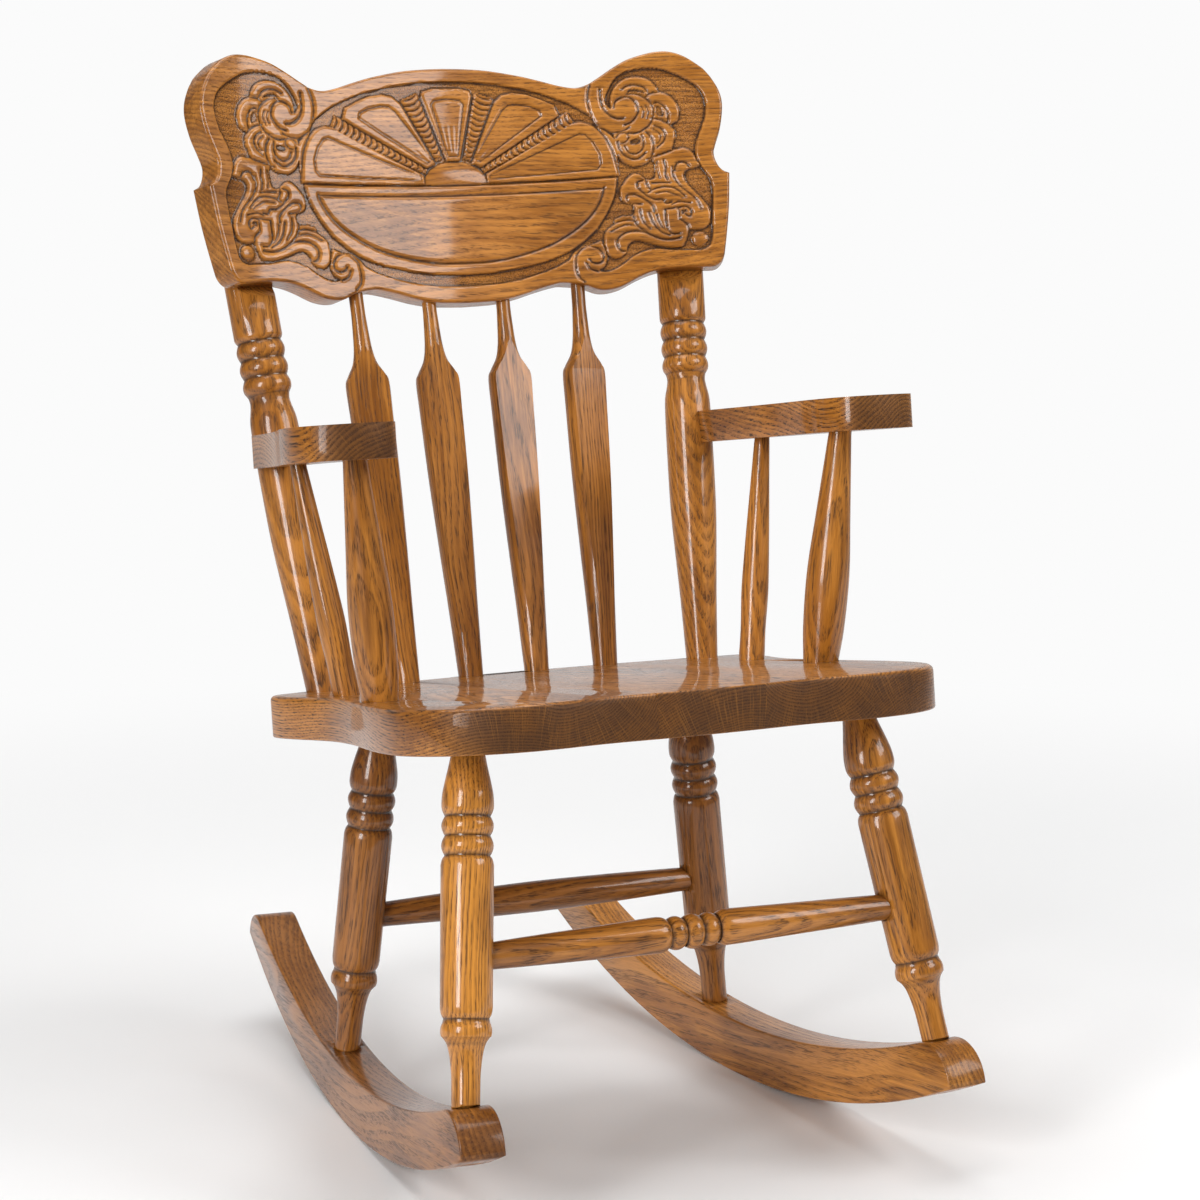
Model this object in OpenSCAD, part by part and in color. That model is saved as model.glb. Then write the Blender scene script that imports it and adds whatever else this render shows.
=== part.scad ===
// A child's press back rocking chair in oak. Millimetres, +Z up, the sitter faces -Y.
// The origin lies on the floor under the middle of the chair's outline.

/* [Seat] */
// Height of the seat's top face above the floor, at the line of the back posts
seat_h = 284; // [250:1:330]
// Slope of the seat, which falls towards the back (degrees)
seat_tilt = 8.7; // [6:0.1:11]
// Thickness of the seat
seat_t = 28.5; // [25:0.5:34]
// Width of the seat across its front corners
seat_w = 374; // [369:1:382]
// Width of the seat across its rear corners
seat_rear_w = 367; // [362:1:372]
// Depth of the hollow in each side, at the seat's waist
seat_waist_in = 16; // [12:0.5:18]
// Distance of the waist in front of the back posts
seat_waist_v = 95; // [88:1:104]
// Distance of the seat's front edge in front of the back posts
seat_front_v = 313; // [300:1:330]
// Depth of the two shallow hollows in the seat's front edge
seat_front_dip = 4.4; // [0:0.2:6]
// Distance of the seat's rear edge behind the back posts, on the centre line
seat_rear_v = 34; // [28:1:40]
// Radius of the seat's front corners
seat_front_r = 74; // [68:1:80]
// Radius of the seat's rear corners
seat_rear_r = 16; // [13:0.5:20]
// Radius of the seat's bowed rear edge
seat_bow_r = 600; // [540:5:700]
// Number of boards glued side by side in the seat
board_count = 5; // [5:1:5]

/* [Back] */
// Lean of the back from square to the seat (degrees)
back_lean = 8.1; // [6:0.1:10]
// Distance of each back post from the centre line, at the seat
post_x = 144.2; // [138:0.2:149]
// Outward lean of the back posts (degrees)
post_splay = 4.2; // [3:0.1:5]
// Length of a back post above the seat
post_len = 386; // [370:1:400]
// Diameter of a back post behind the crest rail
post_head_d = 33.5; // [30:0.5:35]
// Largest diameter of a back post's long vase
post_vase_d = 33.5; // [31:0.5:35]
// Diameter of a back post at the seat
post_foot_d = 22.6; // [21:0.2:26]
// Height above the seat of the lowest ring of a back post's three beads
post_bead_h = 207; // [200:1:212]
// Length of one bead on the back posts
post_bead_len = 12.4; // [11:0.1:13]
// Diameter of the tenon under a back post
post_tenon_d = 18; // [14:0.5:19]
// Distance between the outer two back spindles at the seat
spindle_span = 151.4; // [140:0.2:160]
// Distance between the outer two back spindles at the crest rail
spindle_span_top = 170.2; // [160:0.2:180]
// Diameter of a back spindle at the seat
spindle_foot_d = 17.6; // [15:0.2:19]
// Width of a back spindle's blade at its shoulder
spindle_blade_w = 30.8; // [27:0.2:34]
// Thickness of a back spindle's blade at its shoulder
spindle_blade_t = 12.6; // [10:0.2:15]
// Height of the blade's shoulder above the seat
spindle_shoulder_h = 213; // [205:1:222]
// Diameter of a back spindle's neck
spindle_neck_d = 10; // [8.6:0.2:11.4]

/* [Crest rail] */
// Thickness of the crest rail
crest_t = 19; // [17:0.5:20]
// Radius of the crest rail's hollow front face
crest_bend_r = 487; // [460:1:520]
// Height of the crest rail's lowest edge above the seat, square to the seat
crest_h = 263.4; // [261:0.2:267]
// Distance of the crest rail's front face behind the back posts, at its lowest edge
crest_back = 42; // [41:0.5:43]
// Height of the crest rail's middle arch above its lowest edge
crest_arch_h = 170.6; // [168:0.2:173]
// Height of the crest rail's two ears above its lowest edge
crest_ear_h = 174.6; // [172:0.1:178]
// Half width of the crest rail over its ears
crest_half_w = 197; // [193:0.5:200]

/* [Arms] */
// Height of an arm's underside above the seat
arm_h = 154.6; // [148:0.2:160]
// Thickness of an arm
arm_t = 22.5; // [19:0.5:25]
// Distance of an arm post in front of the back posts, at the seat
arm_post_v = 153; // [146:1:160]
// Distance of an arm post from the centre line, at the seat
arm_post_x = 159.7; // [156:0.2:162]
// Distance of an arm post in front of the back posts, at the arm
arm_post_top_v = 174; // [168:1:178]
// Distance of an arm post from the centre line, at the arm
arm_post_top_x = 174; // [171:0.5:180]
// Diameter of an arm post at the seat
arm_post_d = 24; // [22:0.5:26]
// Distance of an arm spindle in front of the back posts, at the seat
arm_spindle_v = 66; // [60:1:72]
// Distance of an arm spindle from the centre line, at the seat
arm_spindle_x = 151; // [149:0.5:154]
// Distance of an arm spindle in front of the back posts, at the arm
arm_spindle_top_v = 60.5; // [55:0.5:66]
// Distance of an arm spindle from the centre line, at the arm
arm_spindle_top_x = 172.5; // [170:0.5:175]
// Diameter of an arm spindle at the seat
arm_spindle_d = 17.5; // [15:0.5:19]

/* [Legs] */
// Largest diameter of a leg
leg_d = 33.2; // [30:0.2:35]
// Diameter of a leg where it enters the seat
leg_top_d = 20; // [18:0.5:22]
// Diameter of a leg's foot where it meets the rocker
leg_foot_d = 17.8; // [16:0.2:20]
// Distance of a front leg from the centre line, at the seat's underside
front_leg_x = 137; // [132:0.5:142]
// Distance of a front leg in front of the back posts, at the seat's underside
front_leg_v = 243; // [238:1:248]
// Outward splay of the front legs (degrees)
front_leg_splay = 7.4; // [6.4:0.1:8]
// Forward rake of the front legs from square to the seat (degrees)
front_leg_rake = 7.5; // [6.8:0.1:8]
// Distance of a rear leg from the centre line, at the seat's underside
rear_leg_x = 116.6; // [112:0.2:120]
// Distance of a rear leg in front of the back posts, at the seat's underside
rear_leg_v = 29; // [25:1:34]
// Outward splay of the rear legs (degrees)
rear_leg_splay = 6.4; // [5.4:0.1:7.4]
// Backward rake of the rear legs from square to the seat (degrees)
rear_leg_rake = 9.4; // [8.4:0.1:10.4]

/* [Stretchers] */
// Drop of the stretchers below the seat's top face, square to the seat
stretcher_drop = 156; // [148:1:162]
// Diameter of a stretcher where it enters a leg
stretcher_end_d = 17; // [14:0.2:18]
// Largest diameter of the front stretcher, beside its beads
stretcher_front_d = 23; // [20:0.2:24]
// Largest diameter of the rear stretcher
stretcher_rear_d = 21.8; // [19:0.2:23]

/* [Rockers] */
// Thickness of a rocker, side to side
rocker_t = 29; // [26:1:32]
// Height of a rocker above the point where it touches the floor
rocker_h = 38; // [34:1:42]
// Radius of a rocker's underside
rocker_r = 602; // [580:1:630]
// Radius of a rocker's top edge
rocker_top_r = 649; // [625:1:680]
// Distance of the rocker's touching point in front of the back posts
rocker_touch_v = 76; // [40:1:90]
// Distance of the middle of the top edge's curve in front of the back posts
rocker_top_v = 68; // [60:1:76]
// Distance in front of the back posts where the top edge turns into the nose
rocker_nose_v = 306; // [300:1:312]
// Radius of the nose
rocker_nose_r = 27.5; // [24:0.5:30]
// Distance behind the back posts where the top edge turns into the tail
rocker_tail_v = 163; // [150:1:170]
// Radius of the tail
rocker_tail_r = 22; // [18:0.5:26]

/* [Joints] */
// Depth of the round ends in the seat
seat_socket = 19; // [14:0.5:21]
// Depth of the round ends in the arms
arm_socket = 13; // [9:0.5:15]
// Depth of the round ends in the crest rail
crest_socket = 24; // [15:1:30]
// Depth of the feet in the rockers
rocker_socket = 18; // [14:0.5:20]
// Diameter of the tenon under a foot
foot_tenon_d = 13; // [11:0.5:15]
// Depth of the stretchers in the legs
leg_socket = 11; // [9:0.5:13]
// Gap between a round end and its hole, all round
fit = 0.1; // [0.05:0.05:0.3]
// Room left under the end of a round end in its hole
end_room = 0.5; // [0.3:0.1:1]
// Diameter of the screws' shanks
screw_d = 4; // [3:0.5:4.5]
// Diameter of the screws' heads
screw_head_d = 8; // [7:0.5:9]
// Length of the wooden plugs over the screws
plug_len = 6; // [5:0.5:7]
// Length of the crest rail's screws
crest_screw_len = 27; // [25:1:28]
// Length of the arms' screws
arm_screw_len = 45; // [40:1:48]
// Length of the rockers' screws
rocker_screw_len = 26; // [24:1:30]

/* [Hidden] */
$fn = 64;

oak = "peru";
dark_oak = "sienna";
steel = "silver";
far = 1000;

// The floor plan's middle lies half way between the rockers' noses and tails
nose_angle = asin((rocker_nose_v - rocker_top_v) / rocker_top_r);
tail_angle = asin((rocker_tail_v + rocker_top_v) / rocker_top_r);
nose_c = [-rocker_top_v - (rocker_top_r + rocker_nose_r) * sin(nose_angle),
          rocker_top_r + rocker_h - (rocker_top_r + rocker_nose_r) * cos(nose_angle)];
tail_c = [-rocker_top_v + (rocker_top_r + rocker_tail_r) * sin(tail_angle),
          rocker_top_r + rocker_h - (rocker_top_r + rocker_tail_r) * cos(tail_angle)];
origin_y = -(nose_c[0] - rocker_nose_r + tail_c[0] + rocker_tail_r) / 2;

// A place given from the seat: x to the right, v forward of the back posts, w above the top face
function from_seat(p) = [
    p[0],
    origin_y - p[1] * cos(seat_tilt) + p[2] * sin(seat_tilt),
    seat_h + p[1] * sin(seat_tilt) + p[2] * cos(seat_tilt)
];
function mirrored(p, side) = [side * p[0], p[1], p[2]];
function unit(a) = a / norm(a);

// Where a leg's axis, from p along d, meets the curve of the rockers' top edge
function foot_point(p, d) =
    let (
        q = [p[1] - origin_y + rocker_top_v, p[2] - rocker_top_r - rocker_h],
        a = d[1] * d[1] + d[2] * d[2],
        b = q[0] * d[1] + q[1] * d[2],
        c = q[0] * q[0] + q[1] * q[1] - rocker_top_r * rocker_top_r
    )
    p + d * (sqrt(b * b - a * c) - b) / a;

front_leg_top = from_seat([front_leg_x, front_leg_v, -seat_t]);
front_leg_dir = unit(from_seat([front_leg_x + tan(front_leg_splay),
    front_leg_v + tan(front_leg_rake), -seat_t - 1]) - front_leg_top);
front_foot = foot_point(front_leg_top, front_leg_dir);
rear_leg_top = from_seat([rear_leg_x, rear_leg_v, -seat_t]);
rear_leg_dir = unit(from_seat([rear_leg_x + tan(rear_leg_splay),
    rear_leg_v - tan(rear_leg_rake), -seat_t - 1]) - rear_leg_top);
rear_foot = foot_point(rear_leg_top, rear_leg_dir);

// Each rocker runs in line under its two feet
rocker_toe = atan2(front_foot[0] - rear_foot[0], rear_foot[1] - front_foot[1]);
rocker_x = front_foot[0] + (front_foot[1] - origin_y) * tan(rocker_toe);

// Lengths along a leg, from the seat's underside down
leg_ring_1 = 42;
leg_ring_2 = 54;
leg_ring_3 = 66.4;
leg_ring_4 = 166.2;
leg_cuff = 11;
leg_ring_cut = 2.4;
leg_bead_in = 0.3;
leg_cuff_d = 32;
leg_ankle_d = 29.4;

// Lengths along a back post, from the seat up
post_flat_r = 16;
post_ring_cut = 1.9;
post_waist_d = 27.4;
post_dome = 8;

// Lengths along a back spindle above its shoulder
spindle_flare = 34;
spindle_foot_t = 17;
spindle_inset = 9.5;
spindle_row_r = 380;
spindle_row_v = 25;
spindle_neck_l = 30;

stretcher_bead_len = 11.6;
stretcher_bead_d = 22.4;
stretcher_ring_cut = 2.2;

// The bend's outer side, and how far in front of the face the crest rail's outline is cut
crest_back_r = crest_bend_r + crest_t + 1;
crest_reach = 60;

// The crest rail's bed in the back posts starts this far above its lowest edge
crest_bed_u = 22;
crest_bed_reach = 60;
post_bed_x = post_x + (crest_h + crest_bed_u) * tan(post_splay);
crest_bed_n = crest_bend_r - sqrt(pow(crest_bend_r + crest_t, 2) - post_bed_x * post_bed_x);
crest_bed_turn = asin(post_bed_x / (crest_bend_r + crest_t));

screw_head_t = 3;
crest_screw_u = [44, 92];
crest_screw_bite = 13;
arm_screw_turn = 14;
arm_screw_sink = 0.6;
rocker_screw_bite = 15;
arm_post_end_d = 15.4;
arm_post_belly_d = 29.2;
arm_spindle_end_d = 10.6;
arm_spindle_belly_d = 19;

// Points along a smooth curve through the points p
curve_steps = 5;
function spline_at(a, b, c, d, t) =
    0.5 * ((2 * b) + (c - a) * t + (2 * a - 5 * b + 4 * c - d) * t * t
        + (3 * b - a - 3 * c + d) * t * t * t);
function spline(p) = [
    for (i = [0 : len(p) - 2])
        for (k = [0 : curve_steps - 1])
            spline_at(p[max(i - 1, 0)], p[i], p[i + 1], p[min(i + 2, len(p) - 1)], k / curve_steps),
    p[len(p) - 1]
];
function reversed(p) = [for (i = [len(p) - 1 : -1 : 0]) p[i]];
function flipped(p) = [for (q = reversed(p)) [-q[0], q[1]]];

// Half of a bead's outline, bulging from radius r - cut to radius r over the length l from h
function bead(h, l, r, cut) = [
    for (k = [0 : 8]) [r - cut + cut * sin(180 * k / 8), h + l * k / 8]
];

// Places the children with their z axis from p towards q
module along(p, q) {
    d = q - p;
    translate(p)
        rotate([0, acos(d[2] / norm(d)), atan2(d[1], d[0])])
            children();
}

// A solid turned from an outline of radius and length pairs
module turned(outline) {
    rotate_extrude()
        polygon(concat([[0, outline[0][1]]], outline, [[0, outline[len(outline) - 1][1]]]));
}

module in_seat_frame() {
    translate([0, origin_y, seat_h])
        rotate([-seat_tilt, 0, 0])
            children();
}

// Seat

seat_steps = 16;
seat_rear_steps = 8;
seat_dip_skew = 1.36;
seat_corner = [seat_w / 2 - seat_front_r, seat_front_v - seat_front_r];
seat_waist_x = seat_w / 2 - seat_waist_in;
seat_rear_out = seat_rear_w / 2 - seat_waist_x;

// The rear corner's circle touches the bowed rear edge from inside
seat_bow_c = seat_bow_r - seat_rear_v;
seat_rear_x = seat_rear_w / 2 - seat_rear_r;
seat_rear_corner_v = seat_bow_c - sqrt(pow(seat_bow_r - seat_rear_r, 2) - pow(seat_rear_x, 2));
seat_rear_turn = asin(seat_rear_x / (seat_bow_r - seat_rear_r));

function swell(t) = (1 - cos(180 * t)) / 2;
function between(a, b, t) = a + (b - a) * t;

// Half of the seat's outline from the front's middle to the rear's middle, with v forward along -Y
seat_half = concat(
    [for (k = [0 : seat_steps - 1]) let (t = (k + 0.5) / seat_steps)
        [seat_corner[0] * t, seat_front_v - seat_front_dip * pow(sin(180 * pow(t, seat_dip_skew)), 2)]],
    [for (k = [0 : seat_steps - 1]) let (a = 90 * k / seat_steps)
        seat_corner + seat_front_r * [sin(a), cos(a)]],
    [for (k = [0 : seat_steps - 1]) let (t = 1 - k / seat_steps)
        [seat_waist_x + seat_waist_in * swell(t), between(seat_waist_v, seat_corner[1], t)]],
    [for (k = [0 : seat_steps - 1]) let (t = k / seat_steps)
        [seat_waist_x + seat_rear_out * swell(t), between(seat_waist_v, seat_rear_corner_v, t)]],
    [for (k = [0 : seat_rear_steps - 1]) let (a = (90 - seat_rear_turn) * k / seat_rear_steps)
        [seat_rear_x + seat_rear_r * cos(a), seat_rear_corner_v - seat_rear_r * sin(a)]],
    [for (k = [0 : seat_steps - 1]) let (a = seat_rear_turn * (1 - k / (seat_steps - 0.5)))
        [seat_bow_r * sin(a), seat_bow_c - seat_bow_r * cos(a)]]
);

module seat_outline() {
    scale([1, -1])
        polygon(concat(seat_half, flipped(seat_half)));
}

board_w = seat_w / board_count;

module seat_board(i) {
    difference() {
        in_seat_frame()
            translate([0, 0, -seat_t])
                intersection() {
                    linear_extrude(seat_t)
                        seat_outline();
                    translate([-seat_w / 2 + (i - 1) * board_w, -far / 2, 0])
                        cube([board_w, far, seat_t]);
                }
        for (side = [-1, 1]) {
            post_tenon(side, fit);
            arm_post_solid(side, fit);
            arm_spindle_solid(side, fit);
            leg_end(side, true, fit);
            leg_end(side, false, fit);
        }
        for (k = [1 : 4])
            spindle_foot(k, fit);
    }
}

// Back posts

function post_at(side, w) = from_seat([
    side * (post_x + w * tan(post_splay)), -w * tan(back_lean), w
]);
post_scale = norm(post_at(1, 1) - post_at(1, 0));

function post_outline(grow) = concat(
    [[post_foot_d / 2 + grow, -seat_t]],
    [for (q = spline([
        [post_foot_d / 2, 0], [post_foot_d / 2 + 1.7, 41], [post_vase_d / 2 - 1.9, 74],
        [post_vase_d / 2 - 0.4, 104], [post_vase_d / 2, 132], [post_vase_d / 2, post_bead_h - 45],
        [post_vase_d / 2 - 0.2, post_bead_h - 27], [post_vase_d / 2 - 0.7, post_bead_h - 17],
        [post_waist_d / 2 + 0.7, post_bead_h - 9], [post_waist_d / 2, post_bead_h - 4],
        [post_waist_d / 2 + 0.6, post_bead_h]
    ])) [q[0] + grow, q[1]]],
    [for (q = bead(post_bead_h, post_bead_len, post_head_d / 2 + grow, post_ring_cut))
        if (q[1] > post_bead_h + 2) q],
    [for (k = [1 : 2])
        each bead(post_bead_h + k * post_bead_len, post_bead_len, post_head_d / 2 + grow, post_ring_cut)],
    [for (q = bead(post_bead_h + 3 * post_bead_len, 8, post_head_d / 2 + grow, post_ring_cut))
        if (q[1] <= post_bead_h + 3 * post_bead_len + 4) q],
    [[post_head_d / 2 + grow, post_len - post_dome]],
    [for (a = [15 : 15 : 75])
        [(post_head_d / 2 + grow) * cos(a), post_len - post_dome + post_dome * sin(a)]],
    [[2, post_len]]
);

module post_tenon(side, grow) {
    along(post_at(side, 0), post_at(side, post_len))
        translate([0, 0, -seat_socket - (grow > 0 ? end_room : 0)])
            cylinder(d = post_tenon_d + 2 * grow, h = seat_socket + end_room + 2);
}

module post_body(side, grow) {
    intersection() {
        along(post_at(side, 0), post_at(side, post_len))
            turned(post_outline(grow));
        in_seat_frame()
            translate([-far / 2, -far / 2, 0])
                cube(far);
    }
}

module back_post(side) {
    color(oak) difference() {
        union() {
            post_body(side, 0);
            post_tenon(side, 0);
        }
        crest_bed(side);
        for (u = crest_screw_u)
            crest_screw_hole(side, u);
        arm_screw_hole(side);
    }
}

// Back spindles

function spindle_share(k) = (k - 2.5) / 1.5;
function spindle_low(k) =
    let (x = spindle_share(k) * spindle_span / 2)
    from_seat([x, x * x / (2 * spindle_row_r) - spindle_row_v, 0]);
function spindle_high(k) =
    let (x = spindle_share(k) * spindle_span_top / 2)
    crest_point(x, crest_edge_u(x), -spindle_inset);
function spindle_neck_len(k) = norm(spindle_high(k) - spindle_low(k));
function spindle_dir(k) = unit(spindle_high(k) - spindle_low(k));

module spindle_foot(k, grow) {
    along(spindle_low(k), spindle_high(k))
        translate([0, 0, -seat_socket - (grow > 0 ? end_room : 0)])
            cylinder(d = spindle_foot_d + 2 * grow, h = seat_socket + 8);
}

module spindle_neck(k, grow) {
    along(spindle_low(k), spindle_high(k))
        translate([0, 0, spindle_neck_len(k) - spindle_neck_l])
            cylinder(d = spindle_neck_d + 2 * grow,
                h = spindle_neck_l + crest_socket + (grow > 0 ? end_room : 0));
}

module back_spindle(k) {
    h = spindle_shoulder_h;
    r = spindle_blade_w / 2;
    n = spindle_neck_d / 2;
    color(oak)
        along(spindle_low(k), spindle_high(k))
            intersection() {
                turned(concat(
                    [[spindle_foot_d / 2, -seat_socket], [spindle_foot_d / 2, 2]],
                    spline([[spindle_foot_d / 2 + 0.2, 7], [r - 5, 0.22 * h], [r - 3.5, 0.38 * h],
                        [r - 1.3, 0.65 * h], [r - 0.3, 0.88 * h], [r, h - 3], [r - 2.2, h + 3.5],
                        [n + 3.6, h + 12], [n + 1.5, h + 22], [n + 0.6, h + spindle_flare]]),
                    [[n, h + spindle_flare + 12], [n, spindle_neck_len(k) + crest_socket]]
                ));
                rotate([90, 0, 90 + spindle_turn(k)])
                    translate([0, 0, -far / 2])
                        linear_extrude(far)
                            polygon([
                                [-spindle_foot_t / 2 - 1, -far], [spindle_foot_t / 2 + 1, -far],
                                [spindle_foot_t / 2, 0], [spindle_blade_t / 2, h],
                                [spindle_blade_t / 2, far], [-spindle_blade_t / 2, far],
                                [-spindle_blade_t / 2, h], [-spindle_foot_t / 2, 0]
                            ]);
            }
}

// Turns a spindle's flat faces to look along the crest rail's curve
function spindle_turn(k) =
    let (d = spindle_dir(k))
    -atan2(d[1], d[0]) + asin(spindle_share(k) * spindle_span_top / 2 / crest_bend_r);

// Crest rail

// The right half of the crest rail's outline from its lowest point to the top of its arch
crest_edge = [
    [0, 0], [22.5, 0.9], [38, 3.4], [53.5, 7.6], [68, 10.8], [75, 10.6], [87, 8.4], [99, 3.6],
    [112, 4.6], [126, 10.6], [136, 14], [146, 15.4], [160, 15], [176, 13]
];
crest_corner = [[183, 13.6], [186.6, 18]];
crest_side = [[187.6, 23.6], [190.5, 40.5], [193.5, 57.8], [196.2, 80]];
crest_ear = [
    [196.2, 80], [191.6, 83], [188.5, 88.8], [187.5, 96.2], [190, 104.4], [194.5, 116.7],
    [crest_half_w, 130.5], [crest_half_w - 1, 141], [192, 151], [186, 160], [176, crest_ear_h - 5.7],
    [166, crest_ear_h - 0.9], [156, crest_ear_h], [146, crest_ear_h - 1.4], [135, 170.3],
    [124, 164.8], [114, 158.9], [106, 154.7], [97, 152.8], [86, 154.9], [72, 159.4], [56, 164],
    [34, 168.4], [16, crest_arch_h - 0.5], [0, crest_arch_h]
];
crest_half = concat(spline(crest_edge), crest_corner, crest_side, spline(crest_ear));

// Height of the crest rail's lower edge at x from the middle
function crest_edge_u(x) = lookup(abs(x), crest_edge);

crest_origin = from_seat([0, -crest_back, crest_h]);
crest_tilt = seat_tilt + back_lean;

// A point on the crest rail: x across, u up its face, n out of its face at the middle
function crest_sag(x, r) = crest_bend_r - sqrt(r * r - x * x);
function crest_point(x, u, n) =
    let (out = crest_sag(x, crest_bend_r - n))
    crest_origin + [x, u * sin(crest_tilt) - out * cos(crest_tilt),
        u * cos(crest_tilt) + out * sin(crest_tilt)];

// x stays, the local y runs up the crest rail's face and the local z out of it
module in_crest_frame() {
    translate(crest_origin)
        rotate([90 - crest_tilt, 0, 0])
            children();
}

module crest_cylinder(r) {
    translate([0, 0, crest_bend_r])
        rotate([-90, 0, 0])
            translate([0, 0, -far / 2])
                cylinder(r = r, h = far, $fn = 256);
}

// The outline cut square through the bent board, so that its sides run towards the bend's middle
module crest_blank() {
    translate([0, 0, -crest_t - 1])
        linear_extrude(crest_t + 1 + crest_reach, slices = 1,
            scale = [(crest_bend_r - crest_reach) / crest_back_r, 1])
            polygon([for (q = concat(crest_half, flipped(crest_half)))
                [crest_back_r * tan(asin(q[0] / crest_bend_r)), q[1]]]);
}

module crest_rail() {
    color(oak) difference() {
        in_crest_frame()
            difference() {
                intersection() {
                    crest_blank();
                    crest_cylinder(crest_bend_r + crest_t);
                }
                crest_cylinder(crest_bend_r);
            }
        for (k = [1 : 4])
            spindle_neck(k, fit);
        for (side = [-1, 1])
            for (u = crest_screw_u)
                crest_screw_hole(side, u);
    }
}

// The hollow in a back post's front that the crest rail lies in, with a round lower end
module crest_bed(side) {
    in_crest_frame() {
        intersection() {
            crest_cylinder(crest_bend_r + crest_t);
            translate([side > 0 ? 0 : -far, crest_bed_u, -far / 2])
                cube([far, far / 2, far]);
        }
        translate([side * post_bed_x, crest_bed_u, crest_bed_n])
            rotate([0, side * -crest_bed_turn, 0])
                translate([-crest_bed_reach, 0, post_flat_r])
                    rotate([0, 90, 0])
                        cylinder(r = post_flat_r, h = 2 * crest_bed_reach);
    }
}

// Arms

arm_inner = [
    [157, -22], [157, 10], [158, 45], [158.5, 80], [158, 112], [156, 140], [153.5, 166], [153, 188],
    [156, 203], [163.5, 212.5], [175, 217], [189, 217], [203, 212.5], [213.5, 203], [218, 190],
    [218, 172], [213, 146], [205, 118], [196, 86], [188, 52], [181.5, 18], [176, -22]
];

module arm_plan(side) {
    scale([side, -1])
        polygon(spline(arm_inner));
}

module arm(side) {
    color(oak) difference() {
        in_seat_frame()
            translate([0, 0, arm_h])
                linear_extrude(arm_t)
                    arm_plan(side);
        post_body(side, fit);
        arm_post_solid(side, fit);
        arm_spindle_solid(side, fit);
        arm_screw_hole(side);
    }
}

// A turned piece between the seat and an arm: r at the seat, b its belly, e at the arm
module arm_support(low, high, r, b, e, grow) {
    l = norm(high - low);
    room = grow > 0 ? end_room : 0;
    along(low, high)
        turned(concat(
            [[r + grow, -seat_socket - room], [r + grow, 1]],
            [for (q = spline([[r + 0.3, 4], [b - 0.7, 0.14 * l], [b, 0.3 * l], [b - 0.5, 0.44 * l],
                [e + (b - e) * 0.62, 0.62 * l], [e + (b - e) * 0.32, 0.8 * l], [e + 0.2, l - 4]]))
                [q[0] + grow, q[1]]],
            [[e + grow, l - 1], [e + grow, l + arm_socket + room]]
        ));
}

module arm_post_solid(side, grow) {
    arm_support(
        from_seat([side * arm_post_x, arm_post_v, 0]),
        from_seat([side * arm_post_top_x, arm_post_top_v, arm_h]),
        arm_post_d / 2, arm_post_belly_d / 2, arm_post_end_d / 2, grow
    );
}

module arm_spindle_solid(side, grow) {
    arm_support(
        from_seat([side * arm_spindle_x, arm_spindle_v, 0]),
        from_seat([side * arm_spindle_top_x, arm_spindle_top_v, arm_h]),
        arm_spindle_d / 2, arm_spindle_belly_d / 2, arm_spindle_end_d / 2, grow
    );
}

// Legs

function leg_top(side, front) = mirrored(front ? front_leg_top : rear_leg_top, side);
function leg_foot(side, front) = mirrored(front ? front_foot : rear_foot, side);

module leg_end(side, front, grow) {
    room = grow > 0 ? end_room : 0;
    along(leg_top(side, front), leg_foot(side, front))
        translate([0, 0, -seat_socket - room])
            cylinder(d = leg_top_d + 2 * grow, h = seat_socket + room + 3);
}

module foot_tenon(side, front, grow) {
    room = grow > 0 ? end_room : 0;
    along(leg_foot(side, front), leg_top(side, front))
        translate([0, 0, -rocker_socket - room])
            cylinder(d = foot_tenon_d + 2 * grow, h = rocker_socket + room + 10);
}

module leg(side, front) {
    p = leg_top(side, front);
    q = leg_foot(side, front);
    l = norm(q - p);
    r = leg_d / 2;
    b = r - leg_bead_in;
    c = leg_cuff_d / 2;
    a = leg_ankle_d / 2;
    f = leg_foot_d / 2;
    h = leg_ring_4 + leg_cuff + 0.4;
    color(oak) difference() {
        union() {
            leg_end(side, front, 0);
            intersection() {
                along(p, q)
                    turned(concat(
                        spline([[leg_top_d / 2, 0], [leg_top_d / 2 + 2.2, 11],
                            [r - 2.2, leg_ring_1 - 21.5], [r - 0.6, leg_ring_1 - 13],
                            [r - 0.4, leg_ring_1 - 5], [r - leg_ring_cut, leg_ring_1]]),
                        bead(leg_ring_1, leg_ring_2 - leg_ring_1, b, leg_ring_cut + b - r),
                        bead(leg_ring_2, leg_ring_3 - leg_ring_2, b, leg_ring_cut + b - r),
                        spline([[r - leg_ring_cut, leg_ring_3], [r - 0.8, leg_ring_3 + 2.4],
                            [r, leg_ring_3 + 6]]),
                        spline([[r - 0.3, leg_ring_4 - 7], [r - 0.9, leg_ring_4 - 3],
                            [r - leg_ring_cut, leg_ring_4]]),
                        spline([[c - 1.3, leg_ring_4 + 2.4], [c - 0.3, leg_ring_4 + 5],
                            [c, leg_ring_4 + 8], [c - 0.4, leg_ring_4 + leg_cuff - 0.4]]),
                        spline([[a, h], [a - 1.9, h + 2.6], [a - 3.4, h + 6.5], [a - 4.5, h + 12],
                            [f + 0.5, h + 19], [f + 0.1, h + 27], [f, l + 8]])
                    ));
                in_rocker_frame(side)
                    translate([0, -rocker_top_v, rocker_top_r + rocker_h])
                        rotate([0, 90, 0])
                            cylinder(r = rocker_top_r, h = far, center = true, $fn = 256);
            }
            foot_tenon(side, front, 0);
        }
        stretcher_end(side, front, fit);
        rocker_screw_hole(side, front);
    }
}

// Stretchers

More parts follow.
